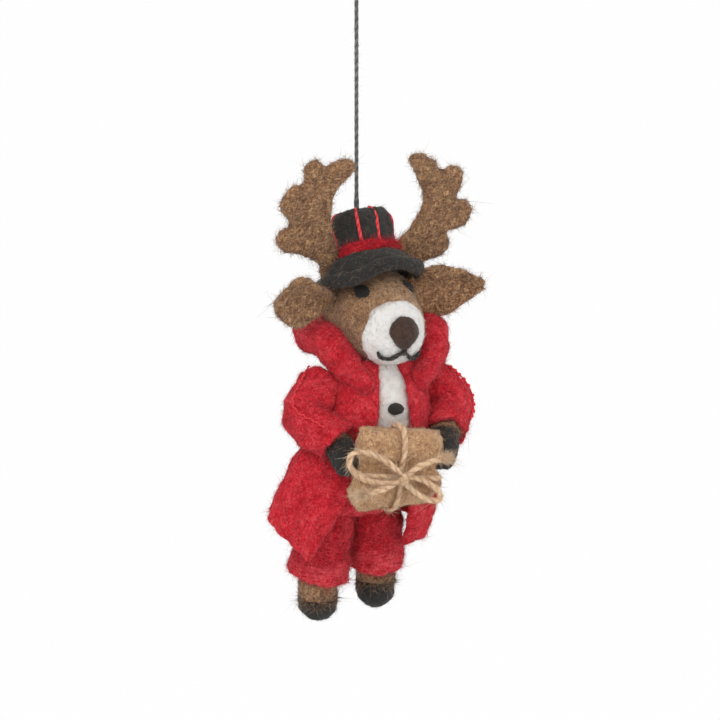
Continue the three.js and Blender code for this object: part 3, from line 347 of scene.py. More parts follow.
def cut_size(surface: Surface) -> tuple[tuple[float, float], float]:
    """The flat width, length and area of the felt that a surface was cut from."""
    middle = surface(*two_shares(np.linspace(0, 1, 60), np.linspace(0, 1, 60)))
    across = np.linalg.norm(np.diff(middle, axis=0), axis=2)
    down = np.linalg.norm(np.diff(middle, axis=1), axis=2)
    width, length = float(across.sum(axis=0).max()), float(down.sum(axis=1).max())
    return (width, length), min(float((across[:, 1:] * down[1:]).sum()), width * length)


def ellipsoid_over(width: float, depth: float, height: float, rows: int = 24, sides: int = 36) -> Form:
    """A ball of three sizes: a point at each polar angle and turn on the unit ball, then scaled."""
    polar, turn = two_shares(np.linspace(0.02, np.pi - 0.02, rows), circle(sides))
    ball = spread(np.sin(polar) * np.cos(turn), np.sin(polar) * np.sin(turn), np.cos(polar))
    return body_over(ball * np.array([width, depth, height]) / 2)


def stacked_over(sides: int, centre: Array, half_width: Array, half_depth: Array) -> Form:
    """Stacked level ellipses: sine of the angle times the half width, minus cosine times the depth."""
    angle = circle(sides)
    ring = spread(np.sin(angle), -np.cos(angle), np.zeros(sides))
    return body_over(centre[:, None, :] + ring[None] * spread(half_width, half_depth, 1.0)[:, None, :])


@dataclass
class Limb:
    """A round form that swells and tapers along a path of points, never along the reference direction."""

    points: Sequence[Array]
    radii: Sequence[float]
    round_start: bool = True
    round_end: bool = True
    reference: Sequence[float] = (0, 1, 0)

    def __post_init__(self) -> None:
        """Draws the path and measures it."""
        self.path = SmoothPath(self.points)
        self.length = self.path.length()

    def radius(self, shares: Array) -> Array:
        """The radius at shares of the path, from a curve through the radii."""
        return MILLIMETRE * smooth(np.array(self.radii) / MILLIMETRE, shares)

    def rings(self, shares: Array, radii: Array, sides: int) -> Array:
        """Rings of points about the path, with the given radius at each share."""
        tangent = self.path.tangents(shares)
        side = unit(np.cross(self.reference, tangent))
        spoke = spokes(side, np.cross(tangent, side), circle(sides))
        return self.path.at(shares)[:, None] + spoke * radii[:, None, None]

    def stations(self, steps: int, caps: int = 9) -> tuple[Array, Array]:
        """Shares and radii along the limb: over a round end the radius goes by the sine of an angle."""
        turn = np.linspace(0.12, np.pi / 2, caps)[:-1]
        start, end = self.radius(np.array([0.0, 1.0])) / self.length * [self.round_start, self.round_end]
        shares = [np.linspace(start, 1 - end, steps)]
        swells = [np.ones(steps)]
        if self.round_start:
            shares.insert(0, start * (1 - np.cos(turn)))
            swells.insert(0, np.sin(turn))
        if self.round_end:
            shares.append(1 - end * (1 - np.cos(turn[::-1])))
            swells.append(np.sin(turn[::-1]))
        shares = np.concatenate(shares)
        return shares, self.radius(shares) * np.concatenate(swells)

    def form(self, steps: int, sides: int) -> Form:
        """The limb's closed skin."""
        return body_over(self.rings(*self.stations(steps), sides))

    def section(self, start: float, end: float, steps: int, sides: int, inset: float) -> Form:
        """The part between two shares of the stations, drawn in by an inset at a cut end."""
        shares, radii = self.stations(4 * steps)
        keep = (shares >= start) & (shares <= end)
        near = np.minimum(np.where(start > 0, shares - start, 1),
            np.where(end < 1, end - shares, 1)) * self.length
        radii = radii - inset * (1 - bulge(np.clip(near / inset, 0.06, 1)))
        return body_over(self.rings(shares[keep], radii[keep], sides))

    def cuffed(self, steps: int, sides: int, inner: float, depth: float, roll: float) -> Form:
        """A limb with an open rolled end: down outside, round the hem and up inside to a closed top.

        Args:
            steps: rings down the outside.
            sides: points round each ring.
            inner: radius of the opening.
            depth: share of the path that the opening reaches back.
            roll: how far the hem's roll stands proud.

        Returns:
            The closed skin.
        """
        shares, outer = self.stations(steps)
        half_wall = (outer[-1] - inner) / 2
        turn = np.linspace(0, np.pi, 12)[1:]
        past = (half_wall / self.length) * np.sin(turn) * 0.8
        back = np.linspace(1, 1 - depth, 8)[1:]
        hem_radii = inner + half_wall + half_wall * np.cos(turn) + roll * np.sin(turn)
        rings = self.rings(np.concatenate([shares, np.ones(11), back]),
            np.concatenate([outer, hem_radii, np.full(7, inner)]), sides)
        beyond = np.concatenate([np.zeros(len(shares)), past, np.zeros(7)]) * self.length
        return body_over(rings + beyond[:, None, None] * self.path.tangents(np.array([1.0]))[0])

    def press(self, clearance: float) -> Press:
        """A press that moves points inside the limb out to its skin and a clearance."""
        shares = np.linspace(0, 1, 90)
        centres = self.path.at(shares)
        radii = self.radius(shares)
        from_start = shares * self.length if self.round_start else np.full(90, self.length)
        from_end = (1 - shares) * self.length if self.round_end else np.full(90, self.length)
        reach = radii * bulge(np.clip(np.minimum(from_start, from_end) / radii, 0, 1)) + clearance

        def push(points: Array) -> Array:
            """Moves points out of the nearest of many balls along the limb."""
            spans = np.linalg.norm(points[:, None] - centres[None], axis=2)
            nearest = np.argmin(spans - reach[None], axis=1)
            away = points - centres[nearest]
            inside = np.linalg.norm(away, axis=1) < reach[nearest]
            skin = centres[nearest] + unit(away) * reach[nearest][:, None]
            return np.where(inside[:, None], skin, points)
        return push


@dataclass(frozen=True)
class Stack:
    """A body of level ellipses down from a top, that others are pressed out of."""

    top: float
    length: float
    station: Callable[[Array], tuple[Array, Array, Array]]

    def press(self, clearance: float, start: float = 0.0) -> Press:
        """A press that moves points inside the ellipses level outwards, from a share of the length."""
        def push(points: Array) -> Array:
            """Moves points out along the spoke from the middle of their own level."""
            share = (-points[:, 2] - self.top) / self.length
            centre, half_width, half_depth = self.station(np.clip(share, 0, 1))
            spoke = points[:, :2] - centre[:, :2]
            sizes = np.stack([half_width, half_depth], axis=1) + clearance
            inside = np.linalg.norm(spoke / sizes, axis=1)
            moved = centre[:, :2] + spoke / np.maximum(inside, 1e-6)[:, None]
            within = (inside < 1) & (share >= start) & (share <= 1)
            return np.column_stack([np.where(within[:, None], moved, points[:, :2]), points[:, 2]])
        return push


# Strands and loose fibres

@dataclass(frozen=True)
class Yarn:
    """A twisted yarn: its diameter, plies, one turn's length and how deep the plies part."""

    diameter: float
    plies: int
    pitch: float
    groove: float
    slub: float = 0.06

    def along(self, path: SmoothPath, reference: Sequence[float], seed: int, sides: int = 14,
            step: float = 0.00035, swell: Callable[[Array], Array] = np.ones_like) -> Toned:
        """The yarn along a path.

        The radius at an angle is the half diameter, less the groove's share where the angle, turned
        with the length along the path, falls between two plies: 1 - groove (1 - |cos(plies angle /
        2)|).

        Args:
            path: the middle line.
            reference: a direction that is never along the path.
            seed: number that fixes the slubs.
            sides: points round the yarn.
            step: distance between rings.
            swell: factor on the radius at shares of the path.

        Returns:
            The skin and its tone, light on the plies and dark in the grooves, which is painted shade
            between the plies.
        """
        length = path.length()
        shares = np.linspace(0, 1, max(int(length / step), 12), endpoint=not path.closed)
        points = path.at(shares)
        tangent = path.tangents(shares)
        side = unit(np.cross(np.asarray(reference, dtype=float), tangent))
        runs = np.concatenate([[0.0], np.cumsum(np.linalg.norm(np.diff(points, axis=0), axis=1))])
        turns = max(round(length / self.pitch), 1) if path.closed else length / self.pitch
        phase = circle(sides)[None] - (2 * np.pi * turns * runs / length)[:, None]
        ridge = np.abs(np.cos(self.plies * phase / 2))
        radius = self.diameter / 2 * (1 - self.groove * (1 - ridge))
        radius = radius * (1 + self.slub * lumps(points, 4 * self.diameter, seed))[:, None]
        spoke = spokes(side, np.cross(tangent, side), circle(sides))
        rings = points[:, None] + spoke * (radius * swell(shares)[:, None])[..., None]
        # Painted shade: the tone is darker in the grooves between the plies and lighter on their crowns,
        # with random lumps.
        tone = 0.14 + 0.5 * ridge ** 0.7 + 0.1 * lumps(rings, 2 * self.diameter, seed + 1)
        if path.closed:
            return band_over(rings), tone.ravel()
        return body_over(rings), np.concatenate([tone.ravel(), tone[[0, -1]].mean(axis=1)])

    def hairs(self, path: SmoothPath, seed: int, density: float = 9000.0,
            length: float = 0.0024) -> Toned:
        """Long fibres on the yarn: each leaves the skin at the slope of the plies and bends back inwards.

        Args:
            path: the yarn's middle line.
            seed: number that fixes the fibres.
            density: fibres to a metre of yarn.
            length: mean length of a fibre.

        Returns:
            The fibres' skins and their tone.
        """
        rng = np.random.default_rng(seed)
        count = int(density * path.length())
        shares = path.even(rng.uniform(0, 1, count))
        tangent = path.tangents(shares)
        spoke = unit(np.cross(tangent, rng.normal(size=(count, 3))))
        slope = np.pi * self.diameter / self.pitch
        leads = unit(tangent + slope * np.cross(tangent, spoke) + 0.16 * rng.normal(size=(count, 3)))
        bends = 0.2 * rng.normal(size=(count, 3)) - 0.3 * spoke
        roots = path.at(shares) + 0.96 * self.diameter / 2 * spoke
        form = fibres_along(roots, leads, bends, length * rng.gamma(4.0, 0.25, count))
        return form, np.repeat(rng.uniform(0.1, 1.0, count), 7)


def fibres_along(roots: Array, leads: Array, bends: Array, lengths: Array, radius: float = 0.00006,
        rings: int = 2) -> Form:
    """Thin three-sided hairs, each from its root by length (s lead + s^2 bend), thinning to a point.

    Args:
        roots: where each hair starts.
        leads: its first direction.
        bends: how its far end is carried aside, as a share of its length.
        lengths: its length.
        radius: its radius at the root.
        rings: rings of three points before the tip.

    Returns:
        One closed skin for each hair, all in one set of arrays.
    """
    shares = np.linspace(0, 0.72, rings)
    run = shares[None, :, None]
    middle = roots[:, None] + lengths[:, None, None] * (leads[:, None] * run + bends[:, None] * run ** 2)
    tips = roots + lengths[:, None] * (leads + bends)
    side = unit(np.cross(leads, bends + np.array([0.31, 0.17, 0.11]) * 1e-3))
    spoke = spokes(side, np.cross(leads, side), np.arange(3) * 2 * np.pi / 3)
    points = middle[:, :, None] + spoke[:, None] * (radius * (1 - 0.55 * shares))[None, :, None, None]
    block = np.concatenate([points.reshape(len(roots), -1, 3), tips[:, None]], axis=1)
    edge, after = np.array([0, 1, 2]), np.array([1, 2, 0])
    ring_quads = np.stack([edge, after, after + 3, edge + 3], axis=1)
    quads = (ring_quads[None] + 3 * np.arange(rings - 1)[:, None, None]).reshape(-1, 4)
    last = 3 * (rings - 1)
    tris = np.vstack([np.stack([edge + last, after + last, np.full(3, last + 3)], axis=1), [[2, 1, 0]]])
    starts = (np.arange(len(roots)) * (last + 4))[:, None, None]
    return Form(block.reshape(-1, 3), (quads[None] + starts).reshape(-1, 4),
        (tris[None] + starts).reshape(-1, 3))


@dataclass(frozen=True)
class Nap:
    """The loose fibres of a felted skin: how many to a square metre, and how they lie."""

    density: float = 6.0e6
    length: float = 0.0012
    lift: float = 14.0
    scatter: float = 0.8
    radius: float = 0.00006
    curl: float = 0.5
    tone: tuple[float, float] = (0.0, 1.2)
    rings: int = 1

    def on(self, form: Form, lay: Sequence[float], seed: int, keep: Optional[Keep] = None,
            tint: Optional[Press] = None) -> Toned:
        """The fibres on a skin, from seeded roots spread evenly over its faces.

        Args:
            form: the skin.
            lay: the direction that the fibres are brushed in.
            seed: number that fixes the pattern.
            keep: which roots stay, told from their places and normals.
            tint: what is added to the tone at a place.

        Returns:
            The fibres' skins and their tone.
        """
        rng = np.random.default_rng(seed)
        a, b, c = form.outward().corners()
        crosses = np.cross(b - a, c - a)
        areas = np.linalg.norm(crosses, axis=1) / 2
        count = int(areas.sum() * self.density)
        picks = rng.choice(len(areas), size=count, p=areas / areas.sum())
        shares = rng.uniform(size=(2, count, 1))
        first, second = np.where(shares.sum(axis=0) > 1, 1 - shares, shares)
        roots = a[picks] + first * (b - a)[picks] + second * (c - a)[picks]
        normals = unit(crosses[picks])
        if keep is not None:
            kept = keep(roots, normals)
            roots, normals = roots[kept], normals[kept]
        count = len(roots)
        lay = np.asarray(lay, dtype=float)
        brush = lay[None] - normals * (normals @ lay)[:, None]
        stray = rng.normal(size=(count, 3))
        stray -= normals * np.einsum("ij,ij->i", stray, normals)[:, None]
        along = unit(unit(brush) * (1 - self.scatter) + unit(stray) * self.scatter)
        lift = np.radians(self.lift) * rng.uniform(0.1, 1.6, (count, 1))
        leads = along * np.cos(lift) + normals * np.sin(lift)
        aside = np.cross(normals, along) * rng.normal(size=(count, 1))
        bends = self.curl * aside - normals * np.sin(lift) * 0.8
        lengths = self.length * rng.gamma(5.0, 0.2, count)
        hairs = fibres_along(roots - normals * self.radius, leads, bends, lengths, self.radius,
            self.rings)
        tones = rng.uniform(*self.tone, count)
        if tint is not None:
            tones = tones + tint(roots)
        return hairs, np.repeat(np.clip(tones, 0, 1), 3 * self.rings + 1)


CLOSE = Nap()
DARK = Nap(tone=(0.0, 1.0))
SMOOTH = Nap(density=5.0e6, length=0.0013, lift=13.0, radius=0.00005, tone=(0.0, 1.1))
CURLY = Nap(density=6.0e6, length=0.0015, lift=15.0, radius=0.00006, curl=1.0, tone=(-0.3, 1.4), rings=2)
FLUFFY = Nap(density=5.5e6, length=0.0018, lift=28.0, curl=0.7)
LAID = Nap(density=6.0e6, length=0.002, lift=12.0, scatter=0.6, radius=0.000062, curl=0.7,
    tone=(-0.3, 1.4))
MIXED = Nap(density=1.3e6, length=0.0018, lift=9.0, scatter=0.9, curl=0.7)
STRAY = Nap(density=0.34e6, length=0.0017, lift=30.0, scatter=1.0, radius=0.000028, curl=0.8, rings=2)


# Finishes

def linear(red: int, green: int, blue: int) -> tuple[float, float, float, float]:
    """A screen colour from 0 to 255 as linear values."""
    share = np.array([red, green, blue]) / 255
    values = np.where(share <= 0.04045, share / 12.92, ((share + 0.055) / 1.055) ** 2.4)
    return (*(float(value) for value in values), 1.0)


class NodeTree:
    """Short ways to add nodes to one shader tree and to link them."""

    def __init__(self, tree: bpy.types.NodeTree) -> None:
        """Keeps the tree."""
        self.tree = tree

    def feed(self, socket: bpy.types.NodeSocket, value: object) -> None:
        """Links another node's socket to a socket, or sets its plain value."""
        if isinstance(value, bpy.types.NodeSocket):
            self.tree.links.new(value, socket)
        else:
            socket.default_value = value

    def add(self, kind: str, *inputs: object, **settings: object) -> bpy.types.Node:
        """Adds a shader node, with what feeds its first sockets and its own settings."""
        node = self.tree.nodes.new("ShaderNode" + kind)
        for name, value in settings.items():
            setattr(node, name, value)
        for socket, value in zip(node.inputs, inputs):
            self.feed(socket, value)
        return node

    def fill(self, node: bpy.types.Node, **values: object) -> bpy.types.Node:
        """Feeds named sockets, whose names have spaces where the words have underscores."""
        for name, value in values.items():
            self.feed(node.inputs[name.replace("_", " ")], value)
        return node

    def math(self, operation: str, first: object, second: object,
            clamp: bool = False) -> bpy.types.NodeSocket:
        """A math node's output over two sockets or numbers."""
        return self.add("Math", first, second, operation=operation, use_clamp=clamp).outputs[0]


class MelangeGroup:
    """A shader group that mixes three shades of fibre: one value picks dark, base or light.

    The value is the tone, plus broad blotches and two sets of fine streaks that run across each other.
    The height is the streaks with a finer grain.
    """

    INPUTS = {"Vector": "Vector", "Tone": "Float", "Dark": "Color", "Base": "Color", "Light": "Color",
        "Blotch Scale": "Float", "Blotch": "Float", "Streak Scale": "Float", "Streak": "Float"}
    OUTPUTS = {"Color": "Color", "Height": "Float"}

    def __init__(self) -> None:
        """Builds the group: its sockets, the noise, the sum and the two colour mixes."""
        self.tree = bpy.data.node_groups.new("Wool melange", "ShaderNodeTree")
        for way, sockets in (("INPUT", self.INPUTS), ("OUTPUT", self.OUTPUTS)):
            for name, kind in sockets.items():
                self.tree.interface.new_socket(name, in_out=way, socket_type="NodeSocket" + kind)
        self.nodes = NodeTree(self.tree)
        source = self.tree.nodes.new("NodeGroupInput").outputs
        result = self.tree.nodes.new("NodeGroupOutput").inputs
        warp = self.nodes.fill(self.nodes.add("TexNoise"), Vector=source["Vector"],
            Scale=source["Blotch Scale"], Detail=1.0)
        swirl = self.nodes.add("VectorMath", warp.outputs["Color"], (0.004, 0.004, 0.004),
            source["Vector"], operation="MULTIPLY_ADD").outputs[0]
        math = self.nodes.math
        blotch = self._noise(source["Vector"], source["Blotch Scale"], (1.0, 1.0, 1.0), 2.0)
        upright = self._noise(swirl, source["Streak Scale"], (1.0, 1.0, 0.22), 3.0)
        across = self._noise(swirl, source["Streak Scale"], (0.25, 0.8, 1.0), 3.0)
        streaks = math("ADD", upright, across)
        broad = math("MULTIPLY", blotch, source["Blotch"])
        fine = math("MULTIPLY", streaks, source["Streak"])
        double = math("MULTIPLY", math("ADD", math("ADD", source["Tone"], broad), fine), 2.0)
        shade = self._mix(math("ADD", double, 0.0, clamp=True), source["Dark"], source["Base"])
        upper = math("SUBTRACT", double, 1.0, clamp=True)
        self.nodes.feed(result["Color"], self._mix(upper, shade, source["Light"]))
        self.nodes.feed(result["Height"], streaks)

    def _noise(self, vector: object, scale: object, stretch: tuple[float, float, float],
            detail: float) -> object:
        """Noise on coordinates that are stretched along an axis, less its mean."""
        squeeze = self.nodes.add("VectorMath", vector, stretch, operation="MULTIPLY").outputs[0]
        noise = self.nodes.fill(self.nodes.add("TexNoise"), Vector=squeeze, Scale=scale, Detail=detail,
            Roughness=0.65)
        return self.nodes.math("SUBTRACT", noise.outputs["Fac"], 0.5)

    def _mix(self, share: object, first: object, second: object) -> object:
        """A colour between two at a share."""
        node = self.nodes.add("Mix", share, data_type="RGBA")
        for socket, colour in ((6, first), (7, second)):
            self.nodes.feed(node.inputs[socket], colour)
        return node.outputs[2]


@dataclass(frozen=True)
class Felt:
    """A wool, felt or yarn finish: three shades of fibre, how they mix, and its sheen and bump."""

    name: str
    dark: tuple[int, int, int]
    base: tuple[int, int, int]
    light: tuple[int, int, int]
    blotch: float = 0.5
    blotch_scale: float = 260.0
    streak: float = 0.7
    streak_scale: float = 2600.0
    bump: float = 0.35
    bump_depth: float = 0.00012
    sheen: float = 0.25
    sheen_tint: tuple[int, int, int] = (255, 255, 255)

    def material(self, group: MelangeGroup) -> bpy.types.Material:
        """The finish as a material: the melange over the piece's own tone."""
        material = bpy.data.materials.new(self.name)
        material.use_nodes = True
        nodes = NodeTree(material.node_tree)
        mix = nodes.fill(nodes.add("Group", node_tree=group.tree),
            Vector=nodes.add("TexCoord").outputs["Object"],
            Tone=nodes.add("Attribute", attribute_name="tone").outputs["Fac"], Dark=linear(*self.dark),
            Base=linear(*self.base), Light=linear(*self.light), Blotch=self.blotch,
            Blotch_Scale=self.blotch_scale, Streak=self.streak, Streak_Scale=self.streak_scale).outputs
        bump = nodes.fill(nodes.add("Bump"), Strength=self.bump, Distance=self.bump_depth,
            Height=mix["Height"])
        nodes.fill(material.node_tree.nodes["Principled BSDF"], Base_Color=mix["Color"], Roughness=0.95,
            Specular_IOR_Level=0.12, Sheen_Weight=self.sheen, Sheen_Roughness=0.6,
            Sheen_Tint=linear(*self.sheen_tint), Normal=bump.outputs["Normal"])
        return material


class Slot(Enum):
    """The record's material slots with the finish of each."""

    BROWN_WOOL = Felt("brown_wool", (88, 58, 40), (144, 102, 70), (204, 166, 126), streak=1.7, blotch=0.5)
    BROWN_FELT = Felt("brown_felt", (84, 54, 35), (146, 102, 68), (208, 170, 124), streak=1.9,
        streak_scale=2000.0, blotch=0.4)
    BLACK_WOOL = Felt("black_wool", (22, 22, 21), (46, 45, 43), (118, 106, 94), streak=0.5, blotch=0.2,
        sheen=0.12)
    WHITE_WOOL = Felt("white_wool", (212, 202, 194), (231, 228, 224), (246, 245, 243), streak=0.6,
        blotch=0.25, bump=0.25, sheen=0.1)
    NOSE_WOOL = Felt("nose_wool", (34, 22, 18), (66, 46, 38), (110, 84, 70), streak=0.6, blotch=0.4,
        sheen=0.2)
    RED_FELT = Felt("red_felt", (130, 8, 20), (202, 30, 44), (236, 96, 104), streak=1.2, blotch=0.5,
        sheen=0.3, sheen_tint=(255, 150, 160))
    RED_THREAD = Felt("red_thread", (170, 22, 34), (222, 50, 58), (240, 110, 110), streak=0.6,
        blotch=0.2, streak_scale=3600.0, sheen=0.2, sheen_tint=(255, 170, 170))
    TAN_FELT = Felt("tan_felt", (128, 88, 58), (184, 141, 102), (228, 192, 148), streak=1.4, blotch=0.4)
    JUTE_TWINE = Felt("jute_twine", (168, 122, 86), (224, 188, 150), (248, 230, 204), streak=0.9,
        blotch=0.2, streak_scale=3600.0, sheen=0.1)
    COTTON_CORD = Felt("cotton_cord", (50, 50, 49), (98, 98, 95), (156, 155, 150), streak=0.6,
        blotch=0.2, streak_scale=3600.0, sheen=0.15)


class Body(Enum):
    """The bodies that the joints move."""

    EYE = "hanger_eye"
    KNOT = "eye_knot"
    CORD = "hanger_cord"
    FIGURE = "figure"


class Bench:
    """Puts finished skins into the scene, with their material, slot and body."""

    def __init__(self) -> None:
        """Builds the shared group and one material for each slot."""
        group = MelangeGroup()
        self.materials = {slot: slot.value.material(group) for slot in Slot}

    def piece(self, name: str, form: Form, slot: Slot, nodes: Sequence[str] = (), tone: Array
            | float = 0.5, body: Body = Body.FIGURE, drop: float = HAT_DROP) -> bpy.types.Object:
        """Makes one object of a skin.

        Args:
            name: the piece's name.
            form: its skin in the figure's frame.
            slot: the finish.
            nodes: the solids that it stands for.
            tone: shade at each point, 0.5 for the base colour.
            body: the body that it moves with.
            drop: how far the frame of the skin lies under the origin.

        Returns:
            The object.
        """
        form = form.outward()
        mesh = bpy.data.meshes.new(name)
        mesh.from_pydata((form.points - [0, 0, drop]).tolist(), [], form.quads.tolist()
            + form.tris.tolist())
        mesh.polygons.foreach_set("use_smooth", np.ones(len(mesh.polygons), bool))
        shades = np.clip(tone, 0, 1) * np.ones(len(form.points))
        mesh.attributes.new("tone", "FLOAT", "POINT").data.foreach_set("value", shades.astype(np.float32))
        mesh.materials.append(self.materials[slot])
        mesh.update()
        thing = bpy.data.objects.new(name, mesh)
        bpy.context.scene.collection.objects.link(thing)
        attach(thing, body.value)
        if nodes:
            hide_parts(*nodes)
        LOG.info("%s: %d faces", name, len(mesh.polygons))
        return thing

    def nap(self, name: str, form: Form, slot: Slot, nap: Nap, lay: Sequence[float], seed: int,
            keep: Optional[Keep] = None, tint: Optional[Press] = None) -> None:
        """Makes the fibres on a skin, as Nap.on says, with a few that stray from it."""
        hairs = merged([nap.on(form, lay, seed, keep, tint), STRAY.on(form, lay, seed + 500, keep)])
        self.piece(name, hairs[0], slot, tone=hairs[1])

    def padded(self, name: str, form: Form, slot: Slot, nodes: Sequence[str], fill: float, tone: Array
            | float = 0.5) -> None:
        """Makes a stuffed piece."""
        thing = self.piece(name, form, slot, nodes, tone)

    def napped(self, name: str, form: Form, slot: Slot, nodes: Sequence[str], fill: Optional[float],
            tone: Array | float, *hairs: object, **picks: Callable) -> None:
        """Makes a piece, by way of padded where it has a fill, and the nap on it, with settings as in
        nap.
        """
        if fill is None:
            self.piece(name, form, slot, nodes, tone)
        else:
            self.padded(name, form, slot, nodes, fill, tone)
        self.nap(re.sub("_(wool|felt|cap|yarn|roving)", "_nap", name), form, slot, *hairs, **picks)


# Head

@dataclass(frozen=True)
class HeadShape:
    """The skull and muzzle, turned about the line from the skull's centre to the muzzle's tip."""

    forward: float = 0.0084
    down: float = 0.0294
    pitch: float = 18.0
    skull_radius: float = 0.0146
    skull_back: float = 0.014
    reach: float = 0.024
    taper_power: float = 1.35
    blunt_power: float = 0.4

    @property
    def turn(self) -> Array:
        """The turn from the head's frame to the figure's."""
        return turned("X", self.pitch)

    @property
    def shift(self) -> Array:
        """The skull's centre in the figure's frame."""
        return at(0, self.forward, self.down)

    def local(self, points: Array) -> Array:
        """Figure points in the head's frame."""
        return (points - self.shift) @ self.turn

    def radius_ahead(self, ahead: Array, inset: Array = 0.0) -> Array:
        """The radius at a distance ahead: (1 - share^taper)^blunt of the skull's, less the inset."""
        share = np.clip(ahead / (self.reach - inset), 0, 1)
        return (self.skull_radius - inset) * (1 - share ** self.taper_power) ** self.blunt_power

    def radius_behind(self, ahead: Array, inset: Array = 0.0) -> Array:
        """The radius behind the skull's centre, on half an ellipsoid."""
        share = np.clip(ahead / (self.skull_back - inset), -1, 0)
        return (self.skull_radius - inset) * np.sqrt(1 - share ** 2)

    def reach_at(self, aside: Array, rise: Array, inset: float = 0.0) -> Array:
        """How far ahead the face lies at a place aside and above the muzzle's line."""
        share = np.clip(np.hypot(aside, rise) / (self.skull_radius - inset), 0, 1)
        return (self.reach - inset) * (1 - share ** (1 / self.blunt_power)) ** (1 / self.taper_power)

    def face_point(self, aside: Array, rise: Array, inset: float = 0.0) -> Array:
        """A point of the face in the head's frame."""
        return spread(aside, -self.reach_at(aside, rise, inset), rise)

    def face_turn(self, aside: float, rise: float, reach: float = 0.0002) -> Array:
        """The turn that takes straight ahead to the face's own direction at a point."""
        across = self.face_point(aside + reach, rise) - self.face_point(aside - reach, rise)
        up = self.face_point(aside, rise + reach) - self.face_point(aside, rise - reach)
        back = -unit(np.cross(up, across))
        side = unit(np.cross(back, np.array([0.0, 0.0, 1.0])))
        return np.column_stack([side, back, np.cross(side, back)])

    def press(self, clearance: float) -> Press:
        """A press that moves figure points out of the head, away from the muzzle's line."""
        def push(points: Array) -> Array:
            """Moves points out at right angles to the muzzle's line."""
            local = self.local(points)
            ahead = -local[:, 1]
            radius = np.hypot(local[:, 0], local[:, 2])
            limit = np.where(ahead > 0, self.radius_ahead(ahead, -clearance),
                self.radius_behind(ahead, -clearance))
            grow = np.where(radius < limit, limit / np.maximum(radius, 1e-6), 1)
            return (local * spread(grow, 1.0, grow)) @ self.turn.T + self.shift
        return push

    def press_ahead(self, clearance: float) -> Press:
        """A press in the head's frame that moves points out of the face, straight ahead."""
        def push(points: Array) -> Array:
            """Moves points ahead of the face."""
            aside, back, rise = points.T
            return spread(aside, np.minimum(back, -self.reach_at(aside, rise, -clearance)), rise)
        return push

    def place(self, form: Form) -> Form:
        """A form from the head's frame in the figure's."""
        return form.placed(self.turn, self.shift)


